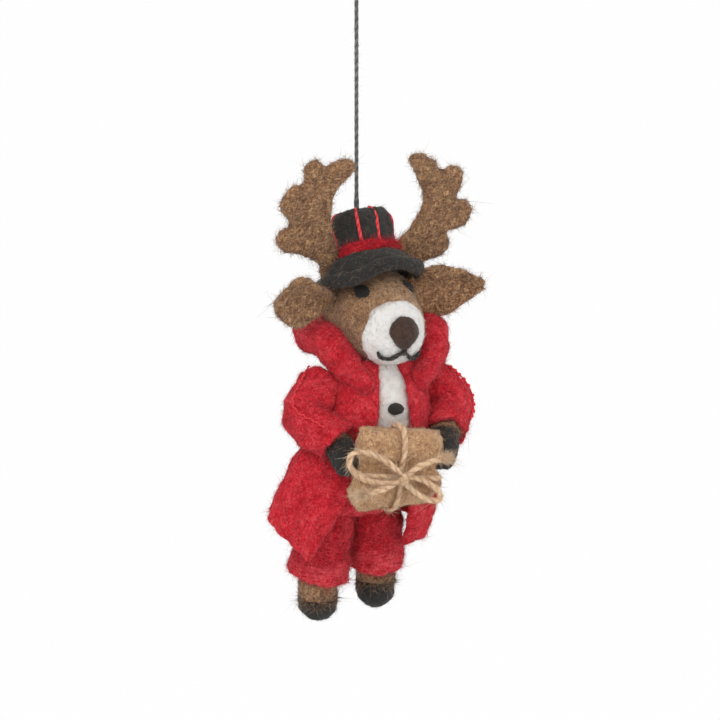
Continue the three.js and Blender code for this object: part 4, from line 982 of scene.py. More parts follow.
@dataclass
class Head:
    """The head: skull, muzzle cap, nose, mouth line, eyes, ears and antlers."""

    bench: Bench
    shape: HeadShape = HeadShape()
    patch_start: float = 0.0138
    patch_thickness: float = 0.0012
    patch_sway: float = 0.0007
    nose_place: Sizes = (-0.0014, 0.0044)
    nose_size: Sizes = (0.0094, 0.0058, 0.0102)
    eye_place: Sizes = (0.0082, 0.0109)
    eye_size: Sizes = (0.0056, 0.0021, 0.0043)
    mouth_half_width: float = 0.0068
    mouth_drop: float = 0.0044
    mouth_rise: float = -0.0018
    mouth_yarn: Yarn = Yarn(0.00135, 2, 0.005, 0.1, slub=0.2)
    ear_root: Sizes = (0.0122, -0.001)
    ear_reach: Sizes = (0.0244, 0.0048)
    ear_width: float = 0.0174
    ear_thickness: float = 0.0022
    antler_place: Sizes = (0.0156, 0.0072, 0.015)
    antler_size: Sizes = (0.02, 0.036)
    antler_thickness: float = 0.0032
    antler_grid: float = 0.0006

    EAR_RIGHT = (0.0108, 0.009, 0.0045, (-0.24, -0.06, 0.16, 0.5, 0.68, 0.4),
        (-0.3, -0.37, -0.42, -0.43, -0.22, 0.22))
    EAR_LEFT = (0.0066, -0.0012, 0.0026, (0.2, 0.4, 0.47, 0.42, 0.26, 0.03),
        (-0.26, -0.46, -0.53, -0.47, -0.28, -0.03))
    ANTLER_RIGHT = ((-0.44, -0.27), (-0.28, 0.04), (-0.06, 0.3), (0.02, 0.52), (-0.03, 0.7),
        (-0.26, 0.86), (-0.24, 0.95), (-0.03, 0.98), (0.24, 0.93), (0.42, 0.99), (0.6, 0.94),
        (0.6, 0.77), (0.74, 0.77), (0.93, 0.58), (0.71, 0.4), (0.88, 0.32), (0.83, 0.18), (0.46, 0.1),
        (0.1, 0.0), (-0.1, -0.26), (-0.26, -0.36))
    ANTLER_LEFT = ((-0.44, -0.27), (-0.3, 0.06), (-0.1, 0.24), (0.05, 0.4), (0.07, 0.54), (-0.16, 0.78),
        (-0.32, 0.93), (-0.15, 0.97), (0.06, 0.92), (0.33, 0.79), (0.45, 0.82), (0.66, 0.78),
        (0.71, 0.66), (0.66, 0.51), (0.85, 0.47), (0.98, 0.36), (0.9, 0.24), (0.6, 0.18), (0.68, 0.07),
        (0.58, -0.03), (0.24, -0.1), (-0.02, -0.3), (-0.24, -0.37))
    LIPS = ((-1, -0.2), (-0.84, -0.58), (-0.5, -0.56), (0, 0.1), (0.5, -0.56), (0.8, -0.5), (0.94, -0.2))
    STEM = ((0, -0.1), (0, 0.28), (0, 0.52))

    def build(self) -> None:
        """Makes every piece of the head."""
        self.skull()
        self.muzzle()
        self.nose()
        self.mouth()
        for side, name in ((-1, "right"), (1, "left")):
            self.eye(side, name)
        self.ear(-1, "right", self.EAR_RIGHT, 31)
        self.ear(1, "left", self.EAR_LEFT, 36)
        self.antler(-1, "right", self.ANTLER_RIGHT, 41)
        self.antler(1, "left", self.ANTLER_LEFT, 46)

    def _border(self, angle: Array) -> Array:
        """How far ahead the white cap begins at an angle: its start with two waves on it."""
        return self.patch_start + self.patch_sway * (np.sin(2 * angle + 0.6) + 0.5 * np.sin(5 * angle))

    def _past(self, points: Array) -> Array:
        """How far ahead of the cap's start figure points lie."""
        return -self.shape.local(points)[:, 1] - self.patch_start

    def _painted_light_and_shade(self, points: Array) -> Array:
        """The brown wool's tone with painted light and shade: lighter on the brow and to the left, darker
        below.
        """
        return 0.5 + 0.22 * eased(points[:, 0], -0.014, 0.0) - 0.2 * eased(-points[:, 2], 0.026, 0.043)

    def _turned(self, angle: Array, radius: Array, ahead: Array) -> Form:
        """A body turned about the muzzle's line, in the figure's frame."""
        return self.shape.place(body_over(spread(radius * np.cos(angle), -ahead, radius * np.sin(angle))))

    def skull(self) -> None:
        """The brown head: a half ellipsoid behind, the muzzle's profile ahead, sunk for the cap."""
        shape = self.shape
        angle = circle(132)[None, :]
        behind = -shape.skull_back * np.cos(np.linspace(0.05, np.pi / 2, 34)[:-1])[:, None]
        behind = np.broadcast_to(behind, (33, 132))
        ahead = (shape.reach * np.sin(np.linspace(0, np.pi / 2 - 0.1, 56)))[:, None]
        sink = (self.patch_thickness + GAP) * eased(ahead - self._border(angle), 0.0001, 0.0013)
        radius = np.concatenate([shape.radius_behind(behind), shape.radius_ahead(ahead, sink)])
        along = np.concatenate([behind, np.minimum(ahead, shape.reach - sink - 0.0002)])
        form = self._turned(angle, radius, along).felted(0.00032, 0.009, 11)
        # The wool's tone and its nap's tint carry painted light and shade: lighter to the left, darker
        # below.
        self.bench.napped("head_wool", form, Slot.BROWN_WOOL, ["head"], 0.95, self._painted_light_and_shade(form.points),
            LAID, (0.35, 0.25, -1), 12, lambda roots, _: self._past(roots) < 0.0004,
            lambda roots: self._painted_light_and_shade(roots) - 0.5)

    def muzzle(self) -> None:
        """The white cap: inside from its tip to its waved border, and back over the outside."""
        shape = self.shape
        angle = circle(120)[None, :]
        border = self._border(angle)
        share = np.sin(np.linspace(0, np.pi / 2 - 0.08, 36))[:, None]
        inner_ahead = border + (shape.reach - self.patch_thickness - border) * share
        inner = shape.radius_ahead(inner_ahead, self.patch_thickness)
        outer_ahead = border + (shape.reach - border) * share
        rounding = 1 - bulge(np.clip((outer_ahead - border) / self.patch_thickness, 0, 1))
        outer = shape.radius_ahead(outer_ahead, 0.0) - 0.8 * self.patch_thickness * rounding
        radius = np.concatenate([inner[::-1], outer])
        form = self._turned(angle, radius, np.concatenate([inner_ahead[::-1], outer_ahead]))
        form = form.felted(0.0002, 0.004, 14, 0.00005)
        # Painted shade: the white darkens towards the cap's border, where it rounds in to meet the head.
        tone = 0.6 - 0.5 * (1 - eased(self._past(form.points), 0, 0.0016))
        self.bench.napped("muzzle_cap", form, Slot.WHITE_WOOL, ["muzzle_patch"], 0.9, tone, SMOOTH,
            (0, -0.3, -1), 15)
        self.bench.nap("muzzle_border_hairs", form, Slot.BROWN_WOOL, MIXED, (0, 1, 0.2), 16,
            lambda roots, _: self._past(roots) < 0.0016)

    def _spot(self, aside: float, rise: float, sizes: Sizes, narrow: float, seed: int) -> Form:
        """A felted spot on the face: a ball of three sizes whose lower half narrows."""
        ball = ellipsoid_over(*sizes, rows=34, sides=48)
        below = np.clip(-ball.points[:, 2] / (sizes[2] / 2), 0, 1)
        ball.points[:, 0] *= 1 - narrow * below ** 1.5
        ball = ball.felted(0.00014, 0.0026, seed, 0.00004)
        return ball.placed(self.shape.face_turn(aside, rise), self.shape.face_point(aside, rise))

    def nose(self) -> None:
        """The nose: a thick dome of felted wool that narrows down to the mouth's stem."""
        form = self._spot(*self.nose_place, self.nose_size, 0.42, 17)
        form = self.shape.place(form.pressed(self.shape.press_ahead(0.00008)))
        self.bench.napped("nose_wool", form, Slot.NOSE_WOOL, ["nose"], 1.0, 0.5, SMOOTH, (0, 0, -1), 18,
            self._showing)

    def _showing(self, roots: Array, _: Array) -> Array:
        """Which figure points lie proud of the face."""
        aside, back, rise = self.shape.local(roots).T
        return -back > self.shape.reach_at(aside, rise) + 0.00025

    def eye(self, side: int, name: str) -> None:
        """A flat felted eye spot."""
        aside, rise = self.eye_place
        form = self._spot(side * aside, rise, self.eye_size, 0.12, 20 + side)
        form = self.shape.place(form).pressed(self.shape.press(0.00008))
        self.bench.napped(f"eye_wool_{name}", form, Slot.BLACK_WOOL, [f"eye_{name}"], 1.0, 0.35,
            replace(SMOOTH, tone=(0.1, 0.7)), (side, 0, -1), 24 + side, self._showing)

    def mouth(self) -> None:
        """The mouth line: a yarn laid on the face as a wide W, and a stem up to the nose."""
        lift = -(GAP + self.mouth_yarn.diameter / 2)
        strands = []
        for shares, seed in ((self.LIPS, 26), (self.STEM, 28)):
            aside, drop = np.array(shares).T
            points = self.shape.face_point(self.nose_place[0] + aside * self.mouth_half_width,
                self.mouth_rise + drop * self.mouth_drop, lift)
            strands.append(self.mouth_yarn.along(SmoothPath(points), (0, -1, 0.01), seed, step=0.0002,
                swell=lambda share: 0.6 + 0.4 * np.sin(np.pi * share) ** 0.7))
        line, tone = merged(strands)
        line = self.shape.place(line)
        self.bench.napped("mouth_yarn", line, Slot.BLACK_WOOL, ["mouth_line"], None, tone,
            replace(SMOOTH, length=0.0009), (1, 0, -0.3), 29)

    def ear(self, side: int, name: str, ear: tuple, seed: int) -> None:
        """An ear: a cupped leaf of felt whose edges are shares of its width."""
        rise, droop, cup, upper_shares, lower_shares = ear

        def surface(u: Array, v: Array) -> Array:
            """A point of the ear's middle at shares of its length and width."""
            low, high = (smooth(edge, u) * self.ear_width for edge in (lower_shares, upper_shares))
            height = rise + blend(low, high, v) - droop * u ** 2
            curl = cup * (2 * v - 1) ** 2 * (1 - 0.4 * u) * eased(u, -0.1, 0.5)
            aside, ahead = (root + reach * u for root, reach in zip(self.ear_root, self.ear_reach))
            return spread(side * aside, -(ahead + curl), height)

        form = self.shape.place(sheet_over(surface, 70, 52, self.ear_thickness))
        form = form.felted(0.00028, 0.007, seed, 0.0001).pressed(self.shape.press(SINK))
        tone = mottled(form.points, 0.5, (0.12, 0.003, seed + 3))
        thing = self.bench.piece(f"ear_felt_{name}", form, Slot.BROWN_FELT, [f"ear_{name}"], tone)
        flat, area = cut_size(surface)
        self.bench.nap(f"ear_nap_{name}", form, Slot.BROWN_FELT, CURLY, (side, 0, -0.2), seed + 1)

    def _filled(self, outline: Array) -> tuple[Array, Array]:
        """An even grid inside an outline with the outline's own points, and triangles over them."""
        low, high = outline.min(axis=0), outline.max(axis=0)
        grid = np.stack(np.meshgrid(*(np.arange(low[i], high[i], self.antler_grid) for i in (0, 1))),
            axis=-1).reshape(-1, 2)
        ends = np.roll(outline, -1, axis=0)
        run, climb = (ends - outline).T
        above, above_next = (points[None, :, 1] > grid[:, None, 1] for points in (outline, ends))
        slope = run / np.where(climb == 0, 1e-12, climb)
        crossing = outline[None, :, 0] + (grid[:, None, 1] - outline[None, :, 1]) * slope[None]
        inside = ((above != above_next) & (crossing > grid[:, None, 0])).sum(axis=1) % 2 == 1
        clear = np.linalg.norm(grid[:, None] - outline[None], axis=2).min(axis=1) > 0.0004
        edge = len(outline)
        loop = [(i, (i + 1) % edge) for i in range(edge)]
        points = [Vector(point) for point in np.vstack([outline, grid[inside & clear]]) * 1000]
        found = delaunay_2d_cdt(points, loop, [list(range(edge))], 1, 1e-6)
        return np.array([tuple(point) for point in found[0]]) / 1000, np.array(found[2])

    def antler(self, side: int, name: str, shares: Sequence[tuple[float, float]], seed: int) -> None:
        """An antler: a flat blade of felt inside a given outline, with half-round edges.

        The thickness at a point is the blade's, times the root of 1 - (1 - e)^2, where e is the
        distance from the outline over 0.6 of it.
        """
        width, height = self.antler_size
        path = SmoothPath(np.array(shares) * np.array([side * width, height]), closed=True)
        outline = path.at(np.linspace(0, 1, 260, endpoint=False))
        columns = ([0, 1, 0], [0, 1, 1])
        waves = [lumps(outline[:, picked], 0.0012, seed + i) for i, picked in enumerate(columns)]
        outline = outline + 0.00012 * np.stack(waves, axis=1)
        flat, tris = self._filled(outline)
        near = np.linalg.norm(flat[:, None] - outline[None], axis=2).min(axis=1)
        near[near < 0.0001] = 0
        half = self.antler_thickness / 2 * bulge(np.clip(near / (0.6 * self.antler_thickness), 0, 1))
        under = np.where(near == 0, 0, len(flat)) + np.arange(len(flat))
        used, faces = np.unique(np.vstack([tris, under[tris][:, ::-1]]), return_inverse=True)
        points = np.vstack([spread(flat[:, 0], depth, flat[:, 1]) for depth in (-half, half)])[used]
        form = Form(points, np.zeros((0, 4), int), faces.reshape(-1, 3)).outward()
        aside, back, rise = self.antler_place
        form = form.placed(np.eye(3), np.array([side * aside, back, rise]))
        form = self.shape.place(form.felted(0.0002, 0.006, seed + 2, 0.00012))
        tone = mottled(form.points, 0.5, (0.14, 0.0028, seed + 5))
        self.bench.napped(f"antler_felt_{name}", form, Slot.BROWN_FELT, [f"antler_{name}"], None, tone,
            CURLY, (side * 0.5, 0, 1), seed + 3)


# Top hat

@dataclass
class TopHat:
    """The top hat: crown, drooping brim, wool band and thread stripes about a tilted axis."""

    bench: Bench
    head: HeadShape = HeadShape()
    tilt: float = 27.0
    twist: float = -5.0
    crown_height: float = 0.0159
    crown_radius: float = 0.0098
    crown_top_radius: float = 0.0104
    crown_edge: float = 0.0044
    crown_seat: float = 0.003
    bore_radius: float = 0.000925
    knot_room: float = 0.0021
    knot_depth: float = 0.0055
    band_height: float = 0.0026
    band_thickness: float = 0.0006
    brim_radius: float = 0.0172
    brim_thickness: float = 0.0044
    brim_root: float = 0.0024
    brim_droop: float = 0.0086
    stripe_yarn: Yarn = Yarn(0.0011, 2, 0.0045, 0.1, slub=0.09)
    stripe_rise: float = -0.00008

    DROOPS = (0.6, 0.6, 0.52, 0.45, 0.5, 0.5, 0.68, 0.92)
    STRIPE_ANGLES = (-130, -79, -26, 9, 65, 115, 170)
    ROVINGS = ((0.22, 1.0), (0.52, 1.15), (0.8, 0.85), (0.4, 0.6))

    @property
    def turn(self) -> Array:
        """The turn from the hat's axis to the figure's frame."""
        return turned("Z", self.twist) @ turned("X", -self.tilt)

    def build(self) -> None:
        """Makes every piece of the hat."""
        self.crown()
        self.brim()
        self.band()
        for number, angle in enumerate(self.STRIPE_ANGLES, start=1):
            self.stripe(number, angle)

    def _ring(self, angle: Array, radius: Array, height: Array) -> Array:
        """Figure points on the hat's axis from angle, radius and height above the brim."""
        return spread(radius * np.sin(angle), -radius * np.cos(angle), height
            - self.crown_height) @ self.turn.T

    def _profile(self, grow: float) -> Array:
        """The crown's side as radius and height: nearly straight, with a rounded edge."""
        turn = np.linspace(0, np.pi / 2, 10)
        edge = np.column_stack([self.crown_top_radius + grow - self.crown_edge * (1 - np.cos(turn)),
            self.crown_height + grow - self.crown_edge * (1 - np.sin(turn))])
        swell = 0.1 * (self.crown_radius - self.crown_top_radius)
        side = [self.crown_radius + grow, 0], [self.crown_radius + swell + grow, 0.4 * self.crown_height]
        run = SmoothPath(np.vstack([side, edge[:1]])).at(np.linspace(0, 1, 26))[:-1]
        return np.vstack([run, edge])

    def crown(self) -> None:
        """The crown: its side and top, then down the cord's bore and round the knot's hollow."""
        angle = circle(120)
        profile = self._profile(0)
        seat = np.linspace(-self.crown_seat, 0, 7)[:-1]
        inward = np.linspace(profile[-1, 0], self.bore_radius, 14)[1:]
        outer = np.vstack([np.column_stack([np.full(6, self.crown_radius), seat]), profile,
            np.column_stack([inward, np.full(13, self.crown_height)])])
        rings = self._ring(angle[None], outer[:, :1], outer[:, 1:])
        room = np.linspace(0.5, np.pi - 0.1, 12)[:, None]
        radius = np.vstack([np.full((6, 1), self.bore_radius), self.knot_room * np.sin(room)])
        height = np.vstack([[[rings[-1][:, 2].mean()]], np.linspace(-0.0008, -0.0036, 5)[:, None],
            self.knot_room * np.cos(room) - self.knot_depth])
        hollow = spread(radius * np.sin(angle), -radius * np.cos(angle), height)
        form = body_over(np.concatenate([rings[:-1], hollow]))
        outside = np.linalg.norm(form.points[:, :2], axis=1) > 1.6 * self.knot_room
        form = form.moved(np.where(outside[:, None], form.felted(0.0003, 0.006, 51).points, form.points))
        form = form.pressed(self.head.press(SINK))
        self.bench.padded("crown_felt", form, Slot.BLACK_WOOL, ["hat_crown"], 0.9)
        above = lambda roots, _: (((roots @ self.turn)[:, 2] > -self.crown_height)
            & (np.linalg.norm(roots, axis=1) > 0.0025))
        self.bench.nap("crown_nap", form, Slot.BLACK_WOOL, DARK, (0.3, 0, -1), 52, above)

    def _droop(self, angle: Array) -> Array:
        """How far the brim droops at an angle: cosine steps between the listed droops."""
        place = (angle / (2 * np.pi)) % 1 * len(self.DROOPS)
        before = np.floor(place).astype(int) % len(self.DROOPS)
        step = (1 - np.cos(np.pi * (place - np.floor(place)))) / 2
        droops = np.array(self.DROOPS)
        return self.brim_droop * blend(droops[before], droops[(before + 1) % len(droops)], step)

    def brim(self) -> None:
        """The brim: thin at the crown and thick at its rolled edge, which droops."""
        angle = circle(190)[:, None]
        inside = self.crown_radius + GAP
        edge = self.brim_thickness / 2
        reach = self.brim_radius - edge - inside
        run = np.linspace(0, 1, 13)[None, :]
        drop = -self._droop(angle) * run ** 1.6
        half = blend(self.brim_root, self.brim_thickness, run) / 2
        turn = np.radians(np.linspace(75, -75, 13))[None, :]
        over = inside + reach * run
        radius = np.hstack([over, inside + reach + edge * np.cos(turn), over[:, ::-1]])
        height = np.hstack([drop + half, drop[:, -1:] + edge * np.sin(turn), (drop - half)[:, ::-1]])
        form = band_over(self._ring(angle, radius, height)).felted(0.00018, 0.006, 54)
        form = form.pressed(self.head.press(SINK))
        self.bench.napped("brim_felt", form, Slot.BLACK_WOOL, ["hat_brim"], 0.8, 0.44, DARK, (0, 0, -1),
            55)
        self.bench.nap("brim_stray_hairs", form, Slot.BROWN_WOOL, replace(MIXED, density=0.15e6),
            (0, 0, -1), 56)

    def band(self) -> None:
        """The band: loose turns of wool roving that wander up and down round the crown."""
        inside = self.crown_radius + GAP
        angle, turn = circle(160)[:, None], circle(12)[None, :]
        rovings = []
        for number, (share, thick) in enumerate(self.ROVINGS):
            sway = 0.00022 * np.sin((2 + number) * angle + 1.7 * number) + 0.0001 * np.sin(7 * angle
                + number)
            radius = inside + self.band_thickness * thick * (0.55 + 0.62 * np.cos(turn))
            radius = np.maximum(radius, inside) + 0.00012 * np.sin(9 * angle + 3 * turn)
            height = GAP + self.brim_root / 2 + self.band_height * share + sway
            height = height + 0.34 * self.band_height * thick * np.sin(turn)
            form = band_over(self._ring(angle, radius, height)).felted(0.00008, 0.002, 57 + number,
                0.00003)
            rovings.append((form, mottled(form.points * [1, 1, 3], 0.3, (0.22, 0.0016, 61 + number))))
        form, tone = merged(rovings)
        self.bench.napped("band_roving", form, Slot.RED_FELT, ["hat_band"], None, tone,
            replace(LAID, tone=(0.1, 0.75)), (1, 0.4, 0), 65)

    def stripe(self, number: int, angle: float) -> None:
        """A thread felted into the crown's side, from the band up to its rounded edge."""
        profile = self._profile(self.stripe_rise)
        path = profile[profile[:, 1] > self.brim_root / 2 + self.band_height][:-1:2]
        points = self._ring(np.radians(angle), path[:, 0], path[:, 1])
        across = self._ring(np.radians(angle + 90), 1.0, self.crown_height)
        form, tone = self.stripe_yarn.along(SmoothPath(points), across, 66 + number, step=0.0004)
        self.bench.piece(f"stripe_thread_{number}", form, Slot.RED_THREAD, [f"hat_stripe_{number}"],
            tone + 0.1)


# Body, coat and sleeves

@dataclass(frozen=True)
class BodyShape:
    """The stuffed torso and the coat round it, as level ellipses down from the neck."""

    torso_top: float = 0.041
    torso_length: float = 0.037
    torso_half_width: float = 0.0125
    torso_half_depth: float = 0.0113
    torso_forward: float = 0.013
    lean: float = -0.002
    coat_top: float = 0.0415
    coat_length: float = 0.0635
    coat_half_width: float = 0.0282
    coat_half_depth: float = 0.0176
    coat_sway: float = -0.0073
    coat_forward: float = 0.0125
    coat_thickness: float = 0.0022
    fold_depth: float = 0.0013
    fold_count: int = 7
    pleat_depth: float = 0.0005
    flare_depth: float = 0.0044
    flare_share: float = 0.52
    flare_spread: float = 0.15

    def torso_station(self, share: Array) -> tuple[Array, Array, Array]:
        """The torso's centre and half sizes at shares down its length."""
        centre = spread(self.lean * 0.5 * share ** 2, -self.torso_forward
            * smooth((0.92, 0.98, 1, 0.9, 0.7), share), -self.torso_top - self.torso_length * share)
        return (centre, self.torso_half_width * smooth((0.5, 0.92, 1, 0.97, 0.94), share),
            self.torso_half_depth * smooth((0.55, 0.87, 1, 0.96, 0.88), share))

    def coat_station(self, share: Array) -> tuple[Array, Array, Array]:
        """The coat's centre and outer half sizes at shares down its length."""
        centre = spread(self.coat_sway * share ** 2, -self.coat_forward
            * smooth((0.85, 0.94, 1, 0.9, 0.72, 0.5, 0.28, 0.08), share), -self.coat_top
            - self.coat_length * share)
        return (centre, self.coat_half_width
            * smooth((0.36, 0.6, 0.64, 0.69, 0.81, 0.97, 1, 0.98), share), self.coat_half_depth
            * smooth((0.48, 0.73, 0.78, 0.78, 0.82, 0.92, 1, 1), share))

    def coat_point(self, angle: Array, share: Array) -> Array:
        """A point of the coat's middle surface: the ellipse with folds that deepen to the hem.

        The right side stands out below the sleeve by a bell curve of the share down, times -sine of the
        angle.
        """
        centre, half_width, half_depth = self.coat_station(share)
        bell = np.exp(-((share - self.flare_share) / self.flare_spread) ** 2)
        half_width = half_width + self.flare_depth * bell * np.maximum(-np.sin(angle), 0)
        wave = self.fold_depth * share ** 2 * np.sin(self.fold_count * angle)
        pleat = self.pleat_depth * share * np.sin(3.1 * self.fold_count * angle + 5 * share)
        out = wave + pleat - self.coat_thickness / 2
        return centre + spread((half_width + out) * np.sin(angle), -(half_depth + out) * np.cos(angle),
            0.0)

    @property
    def torso(self) -> Stack:
        """The torso as a thing to press others out of."""
        return Stack(self.torso_top, self.torso_length, self.torso_station)

    @property
    def coat(self) -> Stack:
        """The coat, filled in, as a thing to press others out of."""
        return Stack(self.coat_top, self.coat_length, self.coat_station)


@dataclass(frozen=True)
class ArmShape:
    """A sleeve and the arm inside it, on one side."""

    side: int
    hand: Sizes
    hoof_length: float
    shoulder: Sizes = (0.015, 0.008, 0.0485)
    elbow: Sizes = (0.0252, 0.013, 0.0592)
    cuff: Sizes = (0.0198, 0.0212, 0.0662)
    shoulder_radius: float = 0.0066
    elbow_radius: float = 0.0074
    cuff_radius: float = 0.0068
    arm_radius: float = 0.0043

    def _points(self, *places: Sizes) -> list[Array]:
        """Places on this side."""
        return [at(self.side * out, forward, down) for out, forward, down in places]

    @property
    def sleeve(self) -> Limb:
        """The sleeve from the shoulder over the elbow to the cuff."""
        shoulder, elbow, cuff = self._points(self.shoulder, self.elbow, self.cuff)
        upper = blend(shoulder, elbow, np.array([0.5, 0.5, 0.38]))
        middle = (self.shoulder_radius + self.elbow_radius) / 2
        return Limb([shoulder, upper, elbow, cuff],
            [self.shoulder_radius, middle, self.elbow_radius, self.cuff_radius], round_end=False)

    @property
    def arm(self) -> Limb:
        """The arm from the elbow to the hand."""
        elbow, cuff = self._points(self.elbow, self.cuff)
        hand = at(*self.hand)
        return Limb([elbow, cuff, blend(cuff, hand, 0.5), hand],
            [share * self.arm_radius for share in (0.9, 1, 1.1, 0.95)])


ARMS = {"right": ArmShape(-1, (-0.0172, 0.0296, 0.075), 0.015),
    "left": ArmShape(1, (0.0134, 0.0286, 0.0764), 0.0155)}


@dataclass
class Torso:
    """The white stuffed body and its button."""

    bench: Bench
    shape: BodyShape = BodyShape()
    head: HeadShape = HeadShape()
    button_size: Sizes = (0.0052, 0.0048, 0.0036)
    button_down: float = 0.0574

    def build(self) -> None:
        """Makes the body and the button."""
        form = stacked_over(110, *self.shape.torso_station(np.linspace(0, 1, 60)))
        form = form.felted(0.0003, 0.008, 71, 0.00003).pressed(self.head.press(SINK))
        # Painted shade: the white is a little darker than its base all over, and darker still towards the
        # sides under the coat.
        edge = np.abs(form.points[:, 0] + 0.0002) / 0.009
        tone = mottled(form.points, 0.42 - 0.35 * eased(edge, 0.3, 0.9), (0.08, 0.004, 72))
        self.bench.padded("torso_wool", form, Slot.WHITE_WOOL, ["torso"], 0.95, tone)
        front = lambda roots, normals: (normals[:, 1] < 0.2) & (roots[:, 2] > -0.075)
        self.bench.nap("torso_nap", form, Slot.WHITE_WOOL, SMOOTH, (0, 0, -1), 73, front)
        near = lambda roots, normals: front(roots, normals) & (np.abs(roots[:, 0]) > 0.0042)
        self.bench.nap("torso_red_hairs", form, Slot.RED_FELT, MIXED, (0, 0, -1), 74, near)
        self.button()

    def button(self) -> None:
        """The button: a felted dome on the chest."""
        share = np.array([(self.button_down - self.shape.torso_top) / self.shape.torso_length])
        centre, _, half_depth = self.shape.torso_station(share)
        ball = ellipsoid_over(*self.button_size).felted(0.00009, 0.0016, 75, 0.00003)
        form = ball.placed(np.eye(3), centre[0] + at(0, half_depth[0] + 0.0003, 0))
        form = form.pressed(self.shape.torso.press(0.0001))
        self.bench.napped("button_wool", form, Slot.BLACK_WOOL, ["shirt_button"], None, 0.45,
            replace(SMOOTH, tone=(0.1, 0.8)), (0, 0, -1), 76, lambda _, normals: normals[:, 1] < -0.1)


@dataclass
class Coat:
    """The coat: three panels of thick felt and the rolled shawl collar."""

    bench: Bench
    shape: BodyShape = BodyShape()
    head: HeadShape = HeadShape()
    neck_share: float = 0.02
    side_seam: float = 100.0
    seam_gap: float = 1.6
    collar_radius: float = 0.0058
    lapel_radius: float = 0.0034
    collar_right_aside: float = 0.0157
    collar_left_aside: float = 0.0208
    collar_side_forward: float = 0.0092
    collar_throat_forward: float = 0.0164
    collar_back: float = 0.007
    collar_back_down: float = 0.0375
    collar_side_down: float = 0.0372
    lapel_aside: float = 0.0072
    lapel_forward: float = 0.0224
    lapel_down: float = 0.0515

    RIGHT_EDGE = (-16, -18, -20, -22, -24, -27, -34, -40)
    LEFT_EDGE = (16, 18, 20, 23, 26, 30, 34, 37)

    def build(self) -> None:
        """Makes the panels and the collar."""
        half = self.seam_gap / 2
        near, far = self.side_seam - half, self.side_seam + half
        self.panel("back", (far, far), (360 - far, 360 - far), (0.9, 0.84, 0.79, 0.77, 0.78), 130, 81)
        self.panel("front_right", (-near, -near), self.RIGHT_EDGE, (0.78, 0.9, 1), 76, 84)
        self.panel("front_left", self.LEFT_EDGE, (near, near), (0.97, 0.96, 0.9), 76, 87)
        self.collar()

    def panel(self, name: str, start: Sizes, end: Sizes, hem: Sizes, columns: int, seed: int) -> None:
        """A panel of felt between two edges.

        Args:
            name: the panel's name.
            start: its first edge, as angles at even shares down the coat.
            end: its other edge.
            hem: how far down the hem lies, as shares across the panel.
            columns: spaces across.
            seed: number that fixes its dents and fibres.
        """
        def surface(u: Array, v: Array) -> Array:
            """A point of the panel's middle at shares of its width and length."""
            share = self.neck_share + (smooth(hem, u) - self.neck_share) * v
            angle = blend(smooth(start, share), smooth(end, share), u)
            return self.shape.coat_point(np.radians(angle), share)

        form = sheet_over(surface, columns, 96, self.shape.coat_thickness)
        form = form.felted(0.0003, 0.009, seed).pressed(self.head.press(SINK))
        flat, area = cut_size(surface)
        tone = mottled(form.points, 0.5, (0.07, 0.011, seed + 4), (0.05, 0.003, seed + 5))
        thing = self.bench.piece(f"coat_felt_{name}", form, Slot.RED_FELT, [f"coat_{name}"], tone)
        self.bench.nap(f"coat_nap_{name}", form, Slot.RED_FELT, replace(FLUFFY, density=4.5e6),
            (0, 0, -1), seed + 1, self._outside, lambda roots: 0.15 * lumps(roots, 0.006, seed + 2))

    def _outside(self, roots: Array, normals: Array) -> Array:
        """Which roots are on the coat's outside, on its edges or low down inside."""
        spoke = roots[:, :2] + [0, 0.0105]
        return (np.einsum("ij,ij->i", spoke, normals[:, :2]) > -0.002) | (roots[:, 2] < -0.092)

    def collar(self) -> None:
        """The collar: one thick roll round the neck that thins into the lapels."""
        throat_down = (self.lapel_down + self.collar_side_down) / 2

        def half_path(side: int, aside: float) -> list[Array]:
            """One side's path: lapel, throat, the side of the neck, and the back."""
            return [at(side * self.lapel_aside, self.lapel_forward, self.lapel_down),
                at(side * aside * 0.8, self.collar_throat_forward, throat_down),
                at(side * aside, self.collar_side_forward, self.collar_side_down),
                at(side * aside * 0.8, -self.collar_back * 0.75, self.collar_back_down)]

        nape = at(0, -self.collar_back - 0.4 * self.collar_radius, self.collar_back_down)
        path = [*half_path(1, self.collar_left_aside), nape,
            *half_path(-1, self.collar_right_aside)[::-1]]
        lapel = self.lapel_radius / self.collar_radius
        radii = [share * self.collar_radius for share
            in (lapel, 0.85, 1, 0.95, 0.92, 0.95, 1, 0.85, lapel)]
        form = Limb(path, radii, reference=(0, 0, 1)).form(170, 72).felted(0.0005, 0.008, 91)
        form = form.pressed(self.shape.coat.press(SINK, self.neck_share), self.head.press(SINK))
        tone = mottled(form.points, 0.5, (0.1, 0.007, 92), (0.05, 0.0025, 93))
        self.bench.napped("collar_felt", form, Slot.RED_FELT, ["coat_collar"], 0.9, tone, FLUFFY,
            (0, -0.4, -1), 94, tint=lambda roots: 0.15 * lumps(roots, 0.005, 95))


